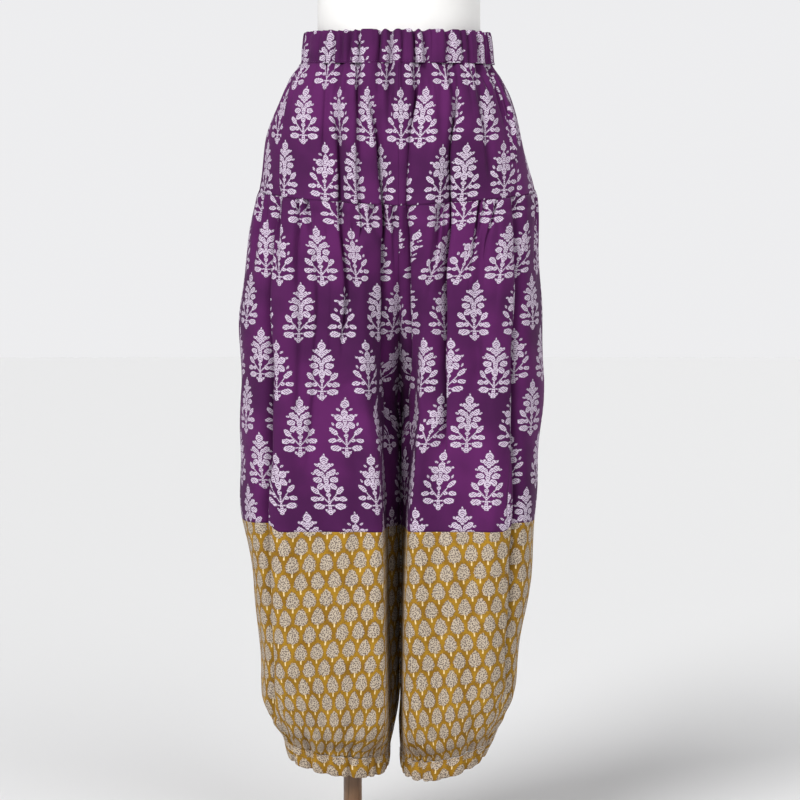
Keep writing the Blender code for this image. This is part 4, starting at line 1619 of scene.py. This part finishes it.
@dataclass
class DressForm:
    """The smooth white torso that holds the trousers up."""

    around: int = 144
    upward: int = 240
    squareness: float = 2.2

    def build(self, material: bpy.types.Material) -> None:
        """Loft the torso through its rings and close its two ends."""
        table_heights = [ring.height for ring in FORM_RINGS]
        low, high = table_heights[0], table_heights[-1]
        heights = np.linspace(low, high, self.upward)
        widths = monotone(table_heights, [ring.half_width for ring in FORM_RINGS], heights)
        depths = monotone(table_heights, [ring.half_depth for ring in FORM_RINGS], heights)
        angles = np.linspace(-math.pi, math.pi, self.around + 1)
        unit = superellipse(angles, 1.0, 1.0, 1.0, self.squareness)
        caps = np.array([0.001, 0.5, 0.9])
        rings_width = np.concatenate([caps * widths[0], widths, caps[::-1] * widths[-1]])
        rings_depth = np.concatenate([caps * depths[0], depths, caps[::-1] * depths[-1]])
        rings_height = np.concatenate([np.full(3, low), heights, np.full(3, high)])
        grid = np.stack(
            [
                rings_width[:, None] * unit[None, :, 0],
                rings_depth[:, None] * unit[None, :, 1],
                np.broadcast_to(rings_height[:, None], (len(rings_height), len(angles))),
            ],
            axis=2,
        )
        outward = np.zeros_like(grid)
        outward[3:-3, :, :2] = unit
        across = np.broadcast_to(angles[None, :] * 0.15, grid.shape[:2])
        cloth = np.stack([across, grid[:, :, 2]], axis=2)
        piece = make_mesh("form_torso_smooth", Surface(grid, cloth, outward), closed=True)
        piece.data.set_sharp_from_angle(angle=math.radians(60))
        dress(piece, material, "form_cover", "form_torso")


@dataclass
class TurnedPiece:
    """A round piece turned about an upright axis, by its profile of radius and height."""

    name: str
    node: str
    centre: tuple[float, float]
    profile: tuple[tuple[float, float], ...]
    sides: int = 96

    def build(self, material: bpy.types.Material) -> None:
        """Turn the profile about its axis and close its two ends with tiny rings."""
        profile = np.array(self.profile)
        angles = np.linspace(0, 2 * math.pi, self.sides + 1)
        radius = profile[:, 0][:, None]
        across = self.centre[0] + radius * np.cos(angles)[None, :]
        deep = self.centre[1] + radius * np.sin(angles)[None, :]
        high = np.broadcast_to(profile[:, 1][:, None], across.shape)
        grid = np.stack([across, deep, high], axis=2)
        outward = np.zeros_like(grid)
        outward[:, :, 0] = np.cos(angles)
        outward[:, :, 1] = np.sin(angles)
        side = np.abs(np.diff(profile[:, 1], append=profile[-1, 1])) > 1e-5
        outward[~side] = 0.0
        cloth = np.stack([np.broadcast_to(angles[None, :], across.shape) * 0.01, high], axis=2)
        piece = make_mesh(self.name, Surface(grid, cloth, outward), closed=True)
        piece.data.set_sharp_from_angle(angle=math.radians(50))
        dress(piece, material, "stand_wood", self.node)


def rounded_disc(radius: float, low: float, high: float, edge: float) -> tuple:
    """Return a disc's profile with quarter-round edges, from its lower to its upper middle."""
    turn = np.linspace(0, math.pi / 2, 7)
    lower = [(radius - edge + edge * math.sin(t), low + edge - edge * math.cos(t)) for t in turn]
    upper = [(radius - edge + edge * math.cos(t), high - edge + edge * math.sin(t)) for t in turn]
    inner = 0.0004
    return ((inner, low), (radius * 0.6, low), *lower, *upper, (radius * 0.6, high), (inner, high))


@dataclass
class Stand:
    """The wooden base, the pole up one trouser leg, its plates and the neck cap."""

    pole_x: float = -0.0605

    def build(self) -> None:
        """Build every turned piece to the size of its solid."""
        upright = StandWood("stand_wood_upright", (1.0, 1.0, 0.06)).make()
        flat = StandWood("stand_wood_flat", (0.08, 1.0, 1.0)).make()
        for node, edge, material in (
            ("base", 0.004, flat),
            ("pole_flange", 0.002, flat),
            ("form_plate", 0.002, flat),
            ("form_neck_cap", 0.0035, flat),
            ("pole", 0.0006, upright),
        ):
            low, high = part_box(node)
            centre = ((low.x + high.x) / 2, (low.y + high.y) / 2)
            profile = rounded_disc((high.x - low.x) / 2, low.z, high.z, edge)
            TurnedPiece(f"{node}_turned", node, centre, profile).build(material)


@dataclass
class Trousers:
    """All the cloth: the waistband, yoke, gathered legs, lower panels, cuffs and pocket."""

    waist_trip: tuple = (
        (Side.RIGHT, ((Face.FRONT, False),)),
        (Side.LEFT, ((Face.FRONT, True), (Face.BACK, False))),
        (Side.RIGHT, ((Face.BACK, True),)),
    )
    yoke_shift: dict = field(
        default_factory=lambda: {Face.FRONT: (0.0275, 0.0), Face.BACK: (0.010, 0.0)}
    )

    def build(self) -> None:
        """Build and dress each piece in the order that it is sewn."""
        purple = PurplePrint().make()
        ochre = OchrePrint().make()
        band = CasingPiece(
            node="waistband",
            slot="purple_cotton",
            top=WAIST_TOP,
            bottom=WAIST_SEAM,
            pleats=WAIST_PLEATS,
            wall=0.0028,
            round_trip=self.waist_trip,
        )
        band.build(purple, Held.STRETCHED, ["form_torso_smooth"])
        for side in (Side.RIGHT, Side.LEFT):
            for face in (Face.FRONT, Face.BACK):
                ending = f"{face.value}_{side.value}_cloth"
                yoke = PanelPiece(YOKE, side, face, self.yoke_shift[face])
                yoke.build(purple, "purple_cotton", ["waistband_cloth"])
                upper = PanelPiece(UPPER, side, face)
                upper.build(purple, "purple_cotton", [f"yoke_{ending}"])
                lower = PanelPiece(LOWER, side, face)
                lower.build(ochre, "ochre_cotton", [f"leg_{ending}"])
            trip = ((side, ((Face.FRONT, False), (Face.BACK, True))),)
            cuff = CasingPiece(
                node=f"cuff_{side.value}",
                slot="ochre_cotton",
                top=CUFF_SEAM,
                bottom=HEM,
                pleats=CUFF_PLEATS,
                wall=0.0024,
                round_trip=trip,
                roll_at_top=False,
                rows=10,
                edge_wave=0.12,
            )
            cuff.build(ochre, Held.GATHERED, [f"lower_front_{side.value}_cloth"])
            line = cuff.path(CUFF_SEAM - STITCH_FROM_SEAM, 0.0009)
            thread = Thread(f"ochre_thread_{side.value}", colour(186, 140, 44)).make()
            StitchLine(f"cuff_stitches_{side.value}").build(*line, thread, "ochre_cotton")
        PocketEdge().build(purple)
        line = band.path(WAIST_SEAM + STITCH_FROM_SEAM, 0.0008)
        thread = Thread("purple_thread", colour(104, 44, 106)).make()
        StitchLine("waistband_stitches").build(*line, thread, "purple_cotton")


@dataclass
class Studio:
    """The camera at the photograph's angle, soft lamps, a pale floor and a pale room."""

    distance: float = 3.0
    eye_height: float = 0.69
    aim_height: float = 0.586
    aim_x: float = 0.0013
    frame_width: float = 1.04
    sensor: float = 36.0
    floor_radius: float = 40.0
    wall_light: float = 0.863
    ceiling_light: float = 0.26
    side_share: float = 0.14
    wall_shade: tuple = (0.985, 0.985, 1.0, 1.0)
    floor_shade: tuple = (0.762, 0.762, 0.766, 1.0)

    def build(self) -> None:
        """Set up everything that isn't part of the object."""
        scene = bpy.context.scene
        camera_data = bpy.data.cameras.new("camera")
        camera = bpy.data.objects.new("camera", camera_data)
        scene.collection.objects.link(camera)
        camera.location = (self.aim_x, -self.distance, self.eye_height)
        drop = math.atan2(self.eye_height - self.aim_height, self.distance)
        camera.rotation_euler = (math.pi / 2 - drop, 0.0, 0.0)
        camera_data.sensor_width = self.sensor
        camera_data.lens = self.sensor * self.distance / self.frame_width
        scene.camera = camera
        self.sun("key_sun", (-0.72, -1.0, 0.95), 30.0, 2.9)
        self.sun("fill_sun", (0.66, -1.0, 0.80), 40.0, 1.1)
        self.sun("back_sun", (0.7, 1.0, 0.9), 30.0, 1.2)
        self.floor()
        self.room()
        scene.view_settings.view_transform = "Standard"

    def sun(self, name: str, towards: tuple, spread: float, strength: float) -> None:
        """Add a wide soft sun that shines from a direction, so that it lights all the floor."""
        data = bpy.data.lights.new(name, "SUN")
        data.angle = math.radians(spread)
        data.energy = strength
        lamp = bpy.data.objects.new(name, data)
        flat = math.hypot(towards[0], towards[1])
        pitch = math.pi / 2 - math.atan2(towards[2], flat)
        lamp.rotation_euler = (pitch, 0.0, math.atan2(-towards[0], towards[1]) + math.pi)
        lamp.location = tuple(3 * part for part in towards)
        bpy.context.scene.collection.objects.link(lamp)

    def room(self) -> None:
        """Make a pale room: bright low down all round and behind, dimmer in front and overhead."""
        world = bpy.data.worlds.new("room")
        world.use_nodes = True
        tree = world.node_tree
        background = tree.nodes["Background"]
        where = tree.nodes.new("ShaderNodeTexCoord")
        split = tree.nodes.new("ShaderNodeSeparateXYZ")
        tree.links.new(where.outputs["Generated"], split.inputs[0])
        height = self.ramp(
            tree, split.outputs[2], (0.12, 0.50), (self.wall_light, self.ceiling_light)
        )
        behind = self.ramp(tree, split.outputs[1], (0.60, 0.95), (self.side_share, 1.0))
        low = self.ramp(tree, split.outputs[2], (0.30, 0.16), (0.0, 1.0))
        pale = self.combine(tree, "MAXIMUM", behind, low)
        strength = self.combine(tree, "MULTIPLY", height, pale)
        tree.links.new(strength, background.inputs["Strength"])
        background.inputs["Color"].default_value = self.wall_shade
        bpy.context.scene.world = world

    @staticmethod
    def ramp(
        tree: bpy.types.NodeTree,
        value: bpy.types.NodeSocket,
        span: tuple[float, float],
        ends: tuple[float, float],
    ) -> bpy.types.NodeSocket:
        """Return a smooth change between two ends as the value goes over a span."""
        node = tree.nodes.new("ShaderNodeMapRange")
        node.interpolation_type = "SMOOTHSTEP"
        tree.links.new(value, node.inputs["Value"])
        for name, number in zip(("From Min", "From Max", "To Min", "To Max"), (*span, *ends)):
            node.inputs[name].default_value = number
        return node.outputs["Result"]

    @staticmethod
    def combine(
        tree: bpy.types.NodeTree,
        operation: str,
        first: bpy.types.NodeSocket,
        second: bpy.types.NodeSocket,
    ) -> bpy.types.NodeSocket:
        """Return two values combined by a Math node."""
        node = tree.nodes.new("ShaderNodeMath")
        node.operation = operation
        tree.links.new(first, node.inputs[0])
        tree.links.new(second, node.inputs[1])
        return node.outputs[0]

    def floor(self) -> None:
        """Add the pale floor as one wide disc."""
        angles = np.linspace(0, 2 * math.pi, 97)[:-1]
        rim = np.stack(
            [self.floor_radius * np.cos(angles), self.floor_radius * np.sin(angles)], axis=1
        )
        points = np.hstack([rim, np.full((len(rim), 1), -0.0005)])
        mesh = bpy.data.meshes.new("floor")
        mesh.from_pydata(points.tolist(), [], [list(range(len(points)))])
        floor = bpy.data.objects.new("floor", mesh)
        bpy.context.scene.collection.objects.link(floor)
        sheet = NodeSheet("pale_floor")
        sheet.shader.inputs["Base Color"].default_value = self.floor_shade
        sheet.shader.inputs["Roughness"].default_value = 0.9
        floor.data.materials.append(sheet.material)


def main() -> None:
    """Build the whole scene and report each piece."""
    logging.basicConfig(level=logging.INFO, format="%(message)s")
    Studio().build()
    DressForm().build(FormCover().make())
    Stand().build()
    Trousers().build()


if __name__ == "__main__":
    main()
